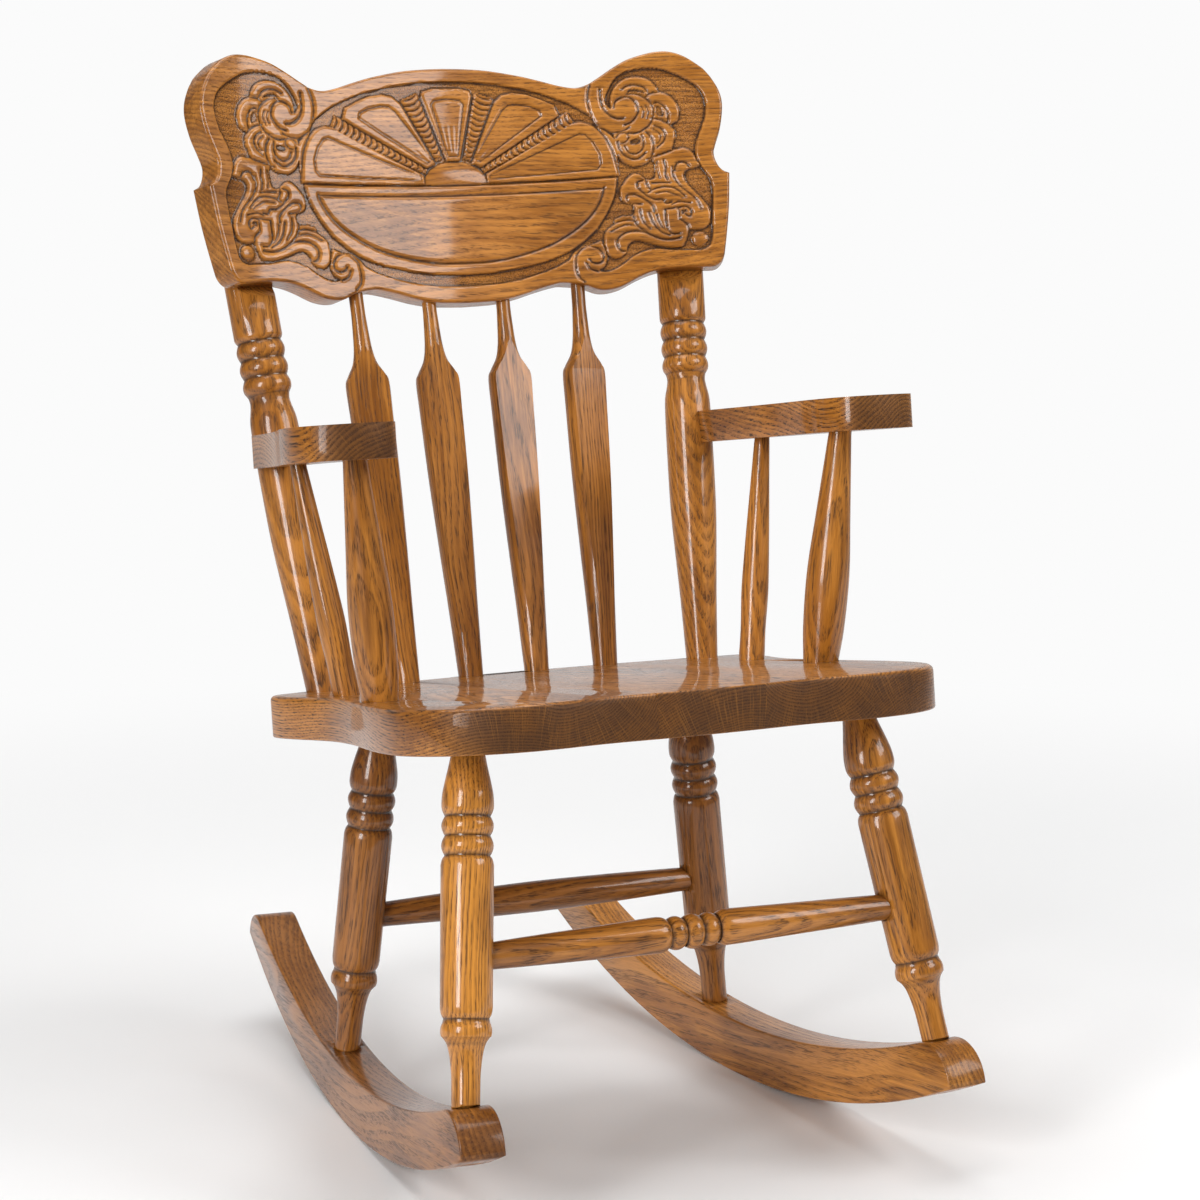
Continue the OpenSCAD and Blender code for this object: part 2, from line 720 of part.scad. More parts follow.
function leg_at_drop(side, front) =
    let (
        p = leg_top(side, front),
        d = unit(leg_foot(side, front) - p)
    )
    p + d * (stretcher_drop - seat_t) / cos(front ? norm([front_leg_splay, front_leg_rake])
        : norm([rear_leg_splay, rear_leg_rake]));

function stretcher_half(front) = leg_at_drop(1, front)[0] - leg_d / 2 + leg_socket;

module stretcher_end(side, front, grow) {
    p = leg_at_drop(side, front);
    half = stretcher_half(front) + (grow > 0 ? end_room : 0);
    translate([side > 0 ? 0 : -half, p[1], p[2]])
        rotate([0, 90, 0])
            cylinder(d = stretcher_end_d + 2 * grow, h = half);
}

module stretcher(front, outline) {
    p = leg_at_drop(1, front);
    color(oak)
        translate([0, p[1], p[2]])
            rotate([0, 90, 0])
                turned(concat(
                    [for (q = reversed(outline)) [q[0], -q[1]]],
                    outline
                ));
}

module stretcher_front() {
    half = stretcher_half(true);
    e = stretcher_end_d / 2;
    r = stretcher_front_d / 2;
    b = stretcher_bead_len;
    stretcher(true, concat(
        [for (q = bead(-b / 2, b, stretcher_bead_d / 2, stretcher_ring_cut)) if (q[1] >= 0) q],
        bead(b / 2, b, stretcher_bead_d / 2 - 0.4, stretcher_ring_cut),
        spline([[r - stretcher_ring_cut, 1.5 * b], [r - 0.3, 1.5 * b + 4], [r, 1.5 * b + 12],
            [r - 0.9, half * 0.42], [e + 0.7, half * 0.78], [e, half - leg_socket - 2]]),
        [[e, half]]
    ));
}

module stretcher_rear() {
    half = stretcher_half(false);
    e = stretcher_end_d / 2;
    r = stretcher_rear_d / 2;
    stretcher(false, concat(
        spline([[r, 0], [r - 0.3, half * 0.22], [r - 1, half * 0.5], [e + 0.5, half * 0.76],
            [e, half - leg_socket - 2]]),
        [[e, half]]
    ));
}

// Rockers

module in_rocker_frame(side) {
    translate([side * rocker_x, origin_y, 0])
        rotate([0, 0, side * rocker_toe])
            children();
}

// The rocker's side view: y along its length, z up
module rocker_outline() {
    top_c = [-rocker_top_v, rocker_top_r + rocker_h];
    intersection() {
        translate([-rocker_touch_v, rocker_r])
            circle(r = rocker_r, $fn = 256);
        union() {
            difference() {
                polygon([
                    top_c,
                    top_c + far * [-sin(nose_angle), -cos(nose_angle)],
                    top_c + far * [sin(tail_angle), -cos(tail_angle)]
                ]);
                translate(top_c)
                    circle(r = rocker_top_r, $fn = 256);
            }
            translate(nose_c)
                circle(r = rocker_nose_r);
            translate(tail_c)
                circle(r = rocker_tail_r);
        }
    }
}

module rocker_blank(side) {
    in_rocker_frame(side)
        translate([-rocker_t / 2, 0, 0])
            rotate([90, 0, 90])
                linear_extrude(rocker_t)
                    rocker_outline();
}

module rocker(side) {
    color(oak) difference() {
        rocker_blank(side);
        for (front = [true, false]) {
            foot_tenon(side, front, fit);
            rocker_screw_hole(side, front);
        }
    }
}

// Screws and plugs

// A screw with its head's top at the origin and its point along +z, with a hole for its plug
module screw(l) {
    cylinder(d1 = screw_head_d, d2 = screw_d, h = screw_head_t);
    cylinder(d = screw_d, h = l);
}

module screw_hole(l) {
    cylinder(d1 = screw_head_d + 2 * fit, d2 = screw_d + 2 * fit, h = screw_head_t);
    cylinder(d = screw_d + 2 * fit, h = l + end_room);
    translate([0, 0, -far / 20])
        cylinder(d = screw_head_d + 2 * fit, h = far / 20 + fit / 2);
}

module plug() {
    translate([0, 0, -plug_len - fit])
        cylinder(d = screw_head_d, h = plug_len);
}

// The crest rail's screws run square to its back face, from behind each post
module at_crest_screw(side, u) {
    x = post_x + (crest_h + u) * tan(post_splay);
    turn = asin(x / (crest_bend_r + crest_t));
    in_crest_frame()
        translate([side * x, u, crest_bend_r - sqrt(pow(crest_bend_r + crest_t, 2) - x * x)])
            rotate([0, side * -turn, 0])
                translate([0, 0, crest_screw_bite - crest_screw_len])
                    children();
}

module crest_screw_hole(side, u) {
    at_crest_screw(side, u)
        screw_hole(crest_screw_len);
}

module crest_screws() {
    color(steel)
        for (side = [-1, 1])
            for (u = crest_screw_u)
                at_crest_screw(side, u)
                    screw(crest_screw_len);
}

module crest_plugs() {
    color(dark_oak)
        for (side = [-1, 1])
            for (u = crest_screw_u)
                at_crest_screw(side, u)
                    plug();
}

// Each arm's screw runs forward from the back of its post into the arm's end
module at_arm_screw(side) {
    w = arm_h + arm_t / 2;
    in_seat_frame()
        translate([side * (post_x + w * tan(post_splay)), w * tan(back_lean), w])
            rotate([0, 0, side * arm_screw_turn])
                rotate([90, 0, 0])
                    translate([0, 0, plug_len - post_vase_d / 2 + arm_screw_sink])
                        children();
}

module arm_screw_hole(side) {
    at_arm_screw(side)
        screw_hole(arm_screw_len);
}

module arm_screws() {
    color(steel)
        for (side = [-1, 1])
            at_arm_screw(side)
                screw(arm_screw_len);
}

module arm_plugs() {
    color(dark_oak)
        for (side = [-1, 1])
            at_arm_screw(side)
                plug();
}

// Each rocker's screws run up the middle of the feet from below
rocker_screw_start = rocker_socket + rocker_screw_len - rocker_screw_bite;

module at_rocker_screw(side, front) {
    along(leg_foot(side, front), leg_top(side, front))
        translate([0, 0, -rocker_screw_start])
            children();
}

module rocker_screw_hole(side, front) {
    at_rocker_screw(side, front)
        screw_hole(rocker_screw_len);
}

module rocker_screws() {
    color(steel)
        for (side = [-1, 1])
            for (front = [true, false])
                at_rocker_screw(side, front)
                    screw(rocker_screw_len);
}

module rocker_plugs() {
    color(dark_oak)
        for (side = [-1, 1])
            for (front = [true, false])
                intersection() {
                    at_rocker_screw(side, front)
                        translate([0, 0, -3 * plug_len - fit])
                            cylinder(d = screw_head_d, h = 3 * plug_len);
                    rocker_blank(side);
                }
}

crest_rail();
back_post(-1);  // back_post_left
back_post(1);  // back_post_right
back_spindle(1);  // back_spindle_1
back_spindle(2);  // back_spindle_2
back_spindle(3);  // back_spindle_3
back_spindle(4);  // back_spindle_4
color(oak) seat_board(1);  // seat_board_1
color(dark_oak) seat_board(2);  // seat_board_2
color(oak) seat_board(3);  // seat_board_3
color(dark_oak) seat_board(4);  // seat_board_4
color(oak) seat_board(5);  // seat_board_5
arm(-1);  // arm_left
arm(1);  // arm_right
color(oak) arm_post_solid(-1, 0);  // arm_post_left
color(oak) arm_post_solid(1, 0);  // arm_post_right
color(oak) arm_spindle_solid(-1, 0);  // arm_spindle_left
color(oak) arm_spindle_solid(1, 0);  // arm_spindle_right
leg(-1, true);  // leg_front_left
leg(1, true);  // leg_front_right
leg(-1, false);  // leg_rear_left
leg(1, false);  // leg_rear_right
stretcher_front();
stretcher_rear();
rocker(-1);  // rocker_left
rocker(1);  // rocker_right
crest_screws();
crest_plugs();
arm_screws();
arm_plugs();
rocker_screws();
rocker_plugs();
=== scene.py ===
"""A child's press back rocking chair in stained and lacquered oak, drawn over its solid parts."""

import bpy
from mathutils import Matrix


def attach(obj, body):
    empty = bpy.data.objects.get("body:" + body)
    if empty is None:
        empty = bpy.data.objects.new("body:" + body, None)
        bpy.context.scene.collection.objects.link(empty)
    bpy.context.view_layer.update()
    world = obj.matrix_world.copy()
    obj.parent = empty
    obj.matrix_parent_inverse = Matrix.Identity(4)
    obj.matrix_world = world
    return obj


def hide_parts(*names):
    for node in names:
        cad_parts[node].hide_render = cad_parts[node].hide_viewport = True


bl_info = {
    "name": "Press back rocking chair",
    "version": (1, 0, 0),
    "blender": (4, 5, 0),
    "location": "3D View > Sidebar > Chair",
    "description": "Draws the wood, the pressed crest rail and the studio for a rocking chair",
    "category": "Object",
}

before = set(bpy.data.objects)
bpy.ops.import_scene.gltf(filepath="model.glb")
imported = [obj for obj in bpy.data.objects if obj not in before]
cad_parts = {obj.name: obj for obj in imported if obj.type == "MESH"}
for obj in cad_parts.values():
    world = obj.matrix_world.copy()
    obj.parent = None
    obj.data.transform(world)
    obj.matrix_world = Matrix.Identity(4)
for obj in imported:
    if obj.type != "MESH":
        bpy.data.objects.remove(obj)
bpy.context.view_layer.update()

import math

import bmesh
import bpy
import numpy as np
from mathutils import Vector

# The crest rail's frame in the solid model, in millimetres and degrees
CREST_ORIGIN = (0.0, 156.736, 538.016)
CREST_TILT = 16.8
CREST_BEND = 487.0
CREST_THICK = 19.0

# The seat's slope, the width of one of its boards in millimetres and the way its top faces
SEAT_TILT = math.radians(8.7)
SEAT_BOARD = 74.8
SEAT_UP = Vector((0, math.sin(SEAT_TILT), math.cos(SEAT_TILT)))

# The backdrop's white, just short of clipping
WHITE = (0.965, 0.965, 0.965, 1.0)

# The screws' zinc in its turning marks
WORN_ZINC = (0.38, 0.38, 0.40)

# The camera: focal length and sensor in mm, place in metres and the way it looks
LENS, SENSOR = 102.24, 36
CAMERA_PLACE = (-0.916, -2.0825, 0.7518)
CAMERA_WAY = (0.4071, 0.8966, -0.1744)

# The backdrop, in metres: half width, its front end, its whole run, where it starts to rise, the
# run and the radius of its bow, and the level way it is turned to
SWEEP_HALF, SWEEP_START, SWEEP_RUN = 5.0, -0.9, 6.2
BOW_START, BOW_RUN, BOW_RADIUS = 2.0, 2.0, 1.27
SWEEP_WAY = (0.4134, 0.9105, 0)

# How each turned piece was cut from its trunk: turn of the bark side in degrees, distance from the
# pith in mm, slope of the rings along the piece, and how much paler or darker it is drawn: partly the
# stain it took, partly painted light and shade, darker where a piece stands in shade
STOCK = {
    "back_post_left": (205, 34, 0.03, 0.06),
    "back_post_right": (246, 24, 0.14, 0.15),
    "leg_front_left": (150, 62, 0.015, 0.34),
    "leg_front_right": (246, 30, 0.045, 0.20),
    "leg_rear_left": (175, 40, 0.03, -0.22),
    "leg_rear_right": (246, 28, -0.06, -0.34),
    "stretcher_front": (270, 24, -0.08, 0.02),
    "stretcher_rear": (300, 40, 0.02, -0.38),
    "arm_post_left": (230, 45, 0.03, 0.02),
    "arm_post_right": (215, 30, 0.05, 0.24),
    "arm_spindle_right": (250, 26, 0.07, 0.10),
}

# Outline of the crest rail's right half: across, up
LOWER_EDGE = [
    (0, 0), (22.5, 0.9), (38, 3.4), (53.5, 7.6), (68, 10.8), (75, 10.6), (87, 8.4), (99, 3.6),
    (112, 4.6), (126, 10.6), (136, 14), (146, 15.4), (160, 15), (176, 13), (181, 13.8), (184, 16.4),
]
LOWER_SIDE = [(184, 16.4), (185.9, 19.6), (187.2, 24.6), (190.5, 40.5), (193.5, 57.8), (196.2, 80)]
EAR_SIDE = [
    (196.2, 80), (191.6, 83), (188.5, 88.8), (187.5, 96.2), (190, 104.4), (194.5, 116.7),
    (197, 130.5), (196, 141), (192, 151), (189, 156),
]
UPPER_EDGE = [
    (0, 170.6), (16, 170.1), (34, 168.4), (56, 164), (72, 159.4), (86, 154.9), (97, 152.8),
    (106, 154.7), (114, 158.9), (124, 164.8), (135, 170.3), (146, 173.2), (156, 174.6),
    (166, 173.7), (176, 168.9), (186, 160), (189, 156),
]

# The sunken ground of the pressed ornament, right half
FAN_GROUND = [
    (-30, 85), (-30, 160), (0, 161), (20, 160.5), (40, 158), (60, 153.5), (70, 150.5), (80, 146.5),
    (90, 142), (98, 137), (105, 132), (108, 128), (112, 118), (118, 105), (121, 86), (120, 85),
]
BAND_GROUND = [
    (-20, 21), (0, 20.5), (20, 21), (40, 23.5), (60, 27), (70, 30), (80, 34), (90, 40), (100, 48),
    (104, 40), (95, 36.5), (88, 36), (82, 32), (78, 27), (70, 23), (60, 19.5), (40, 14.5),
    (20, 12.2), (0, 11.8), (-20, 12.2),
]
LOBE_GROUND = [
    (165, 26.5), (172, 26), (178, 29), (180.5, 38), (181.5, 47), (182.8, 57), (183.8, 67), (183.6, 76),
    (180.5, 82.5), (178, 87.5), (176.3, 92), (175.5, 97), (177, 105), (180, 112), (184.5, 122),
    (186.2, 132), (185, 140), (181, 147), (174, 153), (166, 158), (158, 161.8), (148, 163.4),
    (138, 162.8), (130, 160.3), (124.5, 156), (120.5, 150), (117, 143), (112, 124), (121, 112),
    (121, 97), (119, 88), (118, 80), (115, 70), (108, 58), (100, 47), (102, 40), (104, 34),
    (105, 27), (103, 21), (98.5, 18), (103, 16.3), (110, 17.8), (118, 22), (124, 26), (132, 29),
    (140, 30), (147, 28.8), (155, 27.4),
]

# Raised wood inside the ear's ground: the scrolls above and the leaves below
SCROLLS = [
    (121, 135.5), (120.6, 140), (121.7, 145.5), (124.5, 150.5), (129.5, 155), (135, 157.3),
    (142, 157.3), (149, 154.7), (153.5, 149.5), (155.5, 144.8), (160, 142.8), (164.5, 138.5),
    (167.3, 132.5), (167.6, 127), (165.8, 122.3), (161, 119.6), (163, 115.5), (163, 110.5),
    (161, 105.5), (159, 101), (152, 98.7), (145.5, 96.5), (140, 93), (134, 91.6), (129, 92.6),
    (123.5, 97), (120.3, 104.5), (120, 112), (120, 117.5), (114, 120), (109, 125), (106, 133),
    (104.8, 140), (105.5, 147), (108, 158), (120, 158), (119.2, 150), (117.5, 144), (117.6, 139),
    (119.5, 136),
]
LEAVES = [
    (145, 97), (152, 99), (159, 100.8), (164, 101.6), (169, 101.4), (173.5, 97.5), (176, 91),
    (177.5, 88), (173, 86.5), (168, 85.5), (165.5, 82), (167, 76), (171, 70), (176, 63),
    (179.5, 57), (180.5, 51), (179, 45), (175, 41.5), (170, 41), (165, 41.5), (163.5, 38),
    (161, 32.5), (158, 29.8), (150, 30), (143, 32), (136, 34.5), (130, 37), (125, 37), (121, 34),
    (119.7, 30), (116, 26.5), (111, 25.5), (106, 29), (104.5, 36), (105, 42), (107, 46.5),
    (113, 50.5), (113.5, 54), (120, 56), (127, 56), (128.5, 61), (127.5, 64), (122, 66),
    (119.5, 72), (121, 77), (125, 82), (128.5, 85.3), (132, 86.4), (135.5, 85.3), (138.7, 82),
    (142, 81), (145.5, 82), (146.5, 87), (146.5, 92),
]

# Small stippled hollows between the curls
POCKETS = [
    [(131.5, 146), (136, 148.6), (141.5, 148), (146, 144.6), (141.5, 145.4), (136, 146)],
    [(151.3, 134.8), (154, 134.8), (156.6, 131.8), (157.3, 127), (154.5, 126.3), (151.4, 128.5)],
    [(131.5, 111.5), (138.5, 111.8), (138.6, 108.6), (134.5, 107.4), (131, 108.5)],
    [(160.5, 56.8), (163.8, 57), (165.6, 55), (163.4, 54.4), (161, 52.6)],
]
PETALS = [
    ([(24, 86), (121, 86), (118, 105), (112, 118), (105, 125), (98, 127.5), (92, 127), (24, 93)],
     [(26, 89), (106, 91.5), (109, 95), (109, 103), (105, 112), (100, 118), (96, 119), (26, 92)]),
    ([(21, 98), (83, 133), (80, 141), (70, 146), (60, 150), (50, 151.5), (42, 150), (36, 145),
      (14, 101)],
     [(20, 101.5), (70, 133.5), (69, 137.5), (62, 141), (52, 143), (46, 142.5), (41, 139),
      (16, 104)]),
    ([(5, 103), (19.5, 150), (18, 154), (10, 156), (-10, 156), (-18, 154), (-19.5, 150),
      (-5, 103)],
     [(4, 106), (12.5, 144), (10, 147), (0, 148.5), (-10, 147), (-12.5, 144), (-4, 106)]),
]

# Height of the sunburst's foot, and the half sun's width and height from its middle
FOOT = 85
SUN_WIDE, SUN_HIGH = 24.5, 17.5

# Rows of husks between the petals: start, end, number, half width at the start and the end
HUSKS = [((11, 105), (28, 148), 11, 3.0, 8.0), ((23, 96), (88, 129), 15, 2.0, 6.0)]

# Raised knobs: centre and radius
KNOBS = [((171, 34.2), 5.4)]

# Cut lines: half width, depth, then points
GROOVES = [
    (1.0, 1.0, [(0, 77.5), (109, 77.5)]),
    (1.0, 1.1, [(0, 85), (121, 85)]),
    (1.2, 1.2, [(0, 28.5), (20, 29), (40, 32), (60, 37), (75, 43), (90, 52), (100, 61), (106, 70),
        (109, 78)]),
    (1.0, 1.2, [(121, 86), (118, 105), (112, 118), (105, 125), (98, 127.5), (92, 127)]),
    # the stem and the large scroll with its eye
    (1.1, 1.2, [(107.5, 154), (105.3, 147), (104.8, 140), (106, 133), (109, 125), (114, 120.3),
        (120, 117.8), (127, 118.3), (132, 120.5)]),
    (1.2, 1.4, [(114.5, 150), (114.2, 142), (115.5, 136), (119, 131), (124, 128), (128.5, 127.5)]),
    (1.1, 1.3, [(122.8, 136), (123.8, 139.5), (127, 142.2), (132, 143.3), (136, 141.5), (139, 137),
        (139.7, 132), (137.5, 128), (134, 124.5), (129, 122.4)]),
    (1.1, 1.3, [(133, 145), (138, 145), (143, 143), (147.5, 139), (150, 134), (149.8, 128),
        (147, 122), (142, 118), (136, 116), (131, 116.5)]),
    (0.8, 0.8, [(142, 135), (143.4, 131), (142.3, 127)]),
    (0.8, 0.8, [(145, 135.5), (146.6, 131), (145.2, 126)]),
    # the three lobes
    (1.0, 1.2, [(130, 149), (134, 151.2), (140, 151.3), (145, 149), (148.5, 144.5)]),
    (1.0, 1.1, [(146, 142), (150, 144.3), (156, 144.6)]),
    (1.0, 1.2, [(150.5, 136.7), (154, 136.8), (158, 133), (159.7, 128), (159.3, 122)]),
    (1.1, 1.3, [(148, 126), (154, 124.3), (159, 121), (162.5, 117)]),
    (1.0, 1.2, [(149.5, 120.4), (154, 117.5), (156.2, 113), (154.4, 108), (149.5, 104)]),
    (0.8, 0.9, [(148.5, 117.6), (151.8, 115), (153, 112), (151.6, 108), (149.5, 106.6)]),
    # the small scroll and its bud
    (1.1, 1.3, [(143.5, 116), (146.3, 112), (147.5, 106.5), (146.5, 101), (144.5, 96.5)]),
    (1.1, 1.3, [(122.8, 110.5), (123.5, 105), (127, 100), (132, 97.2), (137, 97.8), (141, 101)]),
    (1.0, 1.2, [(127, 107), (129.5, 102.4), (134, 100.8), (138.7, 103), (140.6, 108), (140, 114)]),
    (0.9, 1.1, [(122, 114), (125, 116.8), (129, 116.8), (130.8, 113.5), (128.5, 110.3),
        (125.5, 109.5)]),
    # the leaves
    (1.1, 1.3, [(142, 96), (148, 97.9), (152, 98.9), (159, 100.9)]),
    (1.1, 1.3, [(159.5, 86), (161, 90), (164, 91.7), (168, 90.5), (170.2, 87)]),
    (0.9, 1.0, [(158.5, 89), (158.3, 82), (162, 74.5), (167, 69), (172, 63.5), (174.5, 56)]),
    (1.0, 1.2, [(148, 93.5), (147.6, 87), (148.8, 81.5)]),
    (1.0, 1.2, [(153, 94), (153.9, 88.5), (153, 84), (154.2, 79.5)]),
    (0.9, 1.0, [(143, 78.3), (150, 78), (155.5, 77.2)]),
    (1.0, 1.1, [(139.5, 71.5), (144, 73.8), (152, 74.8), (159, 72.5), (165, 66)]),
    (0.8, 0.8, [(145, 70.5), (152, 71), (158, 68.5), (163, 65.5)]),
    (1.1, 1.3, [(137, 81), (133.2, 79.8), (133, 76), (136, 72), (140, 68.3), (144, 66.3), (149, 65.7),
        (151, 62.8), (155, 63)]),
    (1.1, 1.3, [(138.8, 82), (139.8, 77), (141.5, 73.8)]),
    (1.1, 1.3, [(123.8, 68), (125, 71), (130, 71.2), (134, 69), (139, 65), (142, 61), (142.3, 57)]),
    (1.0, 1.1, [(123.8, 68), (125.5, 65.5), (129, 64.3), (134, 63.6)]),
    (1.1, 1.3, [(128.5, 61), (127.3, 55), (129, 49), (134, 44), (142, 38.3), (150, 36), (158, 36.5)]),
    (0.9, 1.0, [(132.5, 60), (132.8, 55), (134.2, 50), (138, 45)]),
    (1.0, 1.2, [(138.5, 57), (140, 51), (142, 46.5), (146, 41.8), (151, 39)]),
    (0.9, 1.0, [(143.5, 55), (144.3, 50.5), (146.5, 45.5), (149.5, 42)]),
    (1.0, 1.2, [(150, 58), (149.6, 50), (150, 44), (153, 40), (158, 39.5)]),
    (0.9, 1.0, [(150, 58.2), (155, 58.5), (159, 58.2), (159.2, 50)]),
    (1.1, 1.3, [(159, 58.4), (164, 58.9), (167.6, 55.5), (166.5, 51.5), (163.5, 53)]),
    (0.9, 1.0, [(155, 61.3), (160, 62.8), (168, 61)]),
    (1.0, 1.1, [(160, 49.5), (164, 45.3), (164.6, 41.5)]),
    # the comma below, its fingers and the curl at the band's end
    (1.1, 1.3, [(118.5, 30.3), (116.3, 30.8), (114.2, 33.3), (113.7, 38), (117, 42), (123, 44.3),
        (130, 44), (135, 42.3), (142, 38.3)]),
    (1.0, 1.2, [(106, 46), (111, 50), (117, 52.3), (124, 52.8), (129, 51)]),
    (0.8, 0.9, [(110, 45.5), (117, 48.4), (123, 49.4), (129, 47.5)]),
    (1.1, 1.3, [(83.5, 30.5), (88, 34.8), (93, 36.3), (99, 34.3), (102.7, 29.5), (102.3, 25.3),
        (99, 23.2), (94.5, 24), (92.5, 26.5)]),
    (1.0, 1.0, [(83.2, 30), (82, 22), (83, 15), (87, 10.5)]),
    (1.0, 1.1, [(90, 24), (92.5, 19.5), (97.5, 17.2)]),
]


def length(name, description, default):
    return bpy.props.FloatProperty(
        name=name, description=description, default=default, unit="LENGTH")


def colour(name, description, default):
    return bpy.props.FloatVectorProperty(
        name=name, description=description, default=default, subtype="COLOR", size=3)


class ChairSettings(bpy.types.PropertyGroup):
    """Sizes and colours of the drawn chair."""

    relief: length("Relief", "Depth of the ground pressed into the crest rail", 0.0020)
    edge: length("Edges", "Rounding of the arms' and rockers' edges and the seat's lower edge", 0.0014)
    seat_edge: length("Seat edge", "Rounding of the seat's top edge", 0.0042)
    light_wood: colour("Light wood", "Palest late wood", (0.49, 0.192, 0.032))
    wood: colour("Wood", "Common tone of the stained oak", (0.320, 0.112, 0.013))
    dark_wood: colour("Dark wood", "Early wood that took more stain", (0.120, 0.036, 0.006))
    pores: colour("Pores", "Stain left in pores and grooves", (0.013, 0.0045, 0.0018))
    end_grain: colour("End grain", "Tone of the end grain", (0.098, 0.039, 0.012))
    steel: colour("Steel", "Colour of the screws", (0.55, 0.55, 0.57))
    floor: colour("Floor", "Colour of the floor and backdrop", (0.88, 0.88, 0.88))


def settings():
    return bpy.context.scene.chair


def arithmetic(operation, turned=False):
    """An operator of Value; turned for its reflected form."""
    return lambda value, other: value.math(operation, other, turned=turned)


class Value:
    """A node's output that takes part in arithmetic; each result is a new node."""

    def __init__(self, tree, socket):
        self.tree = tree
        self.socket = socket

    def math(self, operation, *others, turned=False):
        node = self.tree.nodes.new("ShaderNodeMath")
        node.operation = operation
        terms = (*others, self) if turned else (self, *others)
        for slot, term in zip(node.inputs, terms):
            if isinstance(term, Value):
                self.tree.links.new(term.socket, slot)
            else:
                slot.default_value = term
        return Value(self.tree, node.outputs[0])

    __add__ = __radd__ = arithmetic("ADD")
    __sub__, __rsub__ = arithmetic("SUBTRACT"), arithmetic("SUBTRACT", turned=True)
    __mul__ = __rmul__ = arithmetic("MULTIPLY")
    __truediv__, __rtruediv__ = arithmetic("DIVIDE"), arithmetic("DIVIDE", turned=True)
    __pow__ = arithmetic("POWER")

    def __abs__(self):
        return self.math("ABSOLUTE")


class Shade:
    """Builds the nodes of one material."""

    def __init__(self, name):
        self.material = bpy.data.materials.new(name)
        self.material.use_nodes = True
        self.tree = self.material.node_tree
        self.tree.nodes.clear()

    def node(self, kind, setup=None, inputs=None):
        """A node with its settings made first, then its inputs set or linked."""
        made = self.tree.nodes.new("ShaderNode" + kind)
        for key, value in (setup or {}).items():
            setattr(made, key, value)
        for key, value in (inputs or {}).items():
            if isinstance(value, Value):
                self.tree.links.new(value.socket, made.inputs[key])
            else:
                made.inputs[key].default_value = value
        return made

    def value(self, kind, setup=None, inputs=None, output=0):
        return Value(self.tree, self.node(kind, setup, inputs).outputs[output])

    def attribute(self, name, output):
        return self.value("Attribute", {"attribute_name": name}, output=output)

    def noise(self, x, y, z, detail, output=0):
        """Noise at a place; output 1 gives three values at once."""
        vector = self.value("CombineXYZ", inputs={0: x, 1: y, 2: z})
        return self.value(
            "TexNoise", inputs={"Vector": vector, "Scale": 1.0, "Detail": detail}, output=output)

    def speckle(self, scale, detail):
        """Noise over the piece's own space."""
        place = self.value("TexCoord", output=3)
        return self.value("TexNoise", inputs={"Vector": place, "Scale": scale, "Detail": detail})

    def step(self, value, low, high):
        """0 below low and 1 above high, smooth between."""
        return self.value(
            "MapRange", {"interpolation_type": "SMOOTHSTEP"},
            {0: value, 1: low, 2: high, 3: 0.0, 4: 1.0})

    def mix(self, share, first, second):
        """Mixes two colours."""
        tones = {i: c if isinstance(c, Value) else (*c, 1.0) for i, c in ((6, first), (7, second))}
        return self.value("Mix", {"data_type": "RGBA"}, {0: share, **tones}, output=2)

    def finish(self, surface):
        out = self.node("OutputMaterial")
        self.tree.links.new(surface.outputs[0], out.inputs[0])
        return self.material


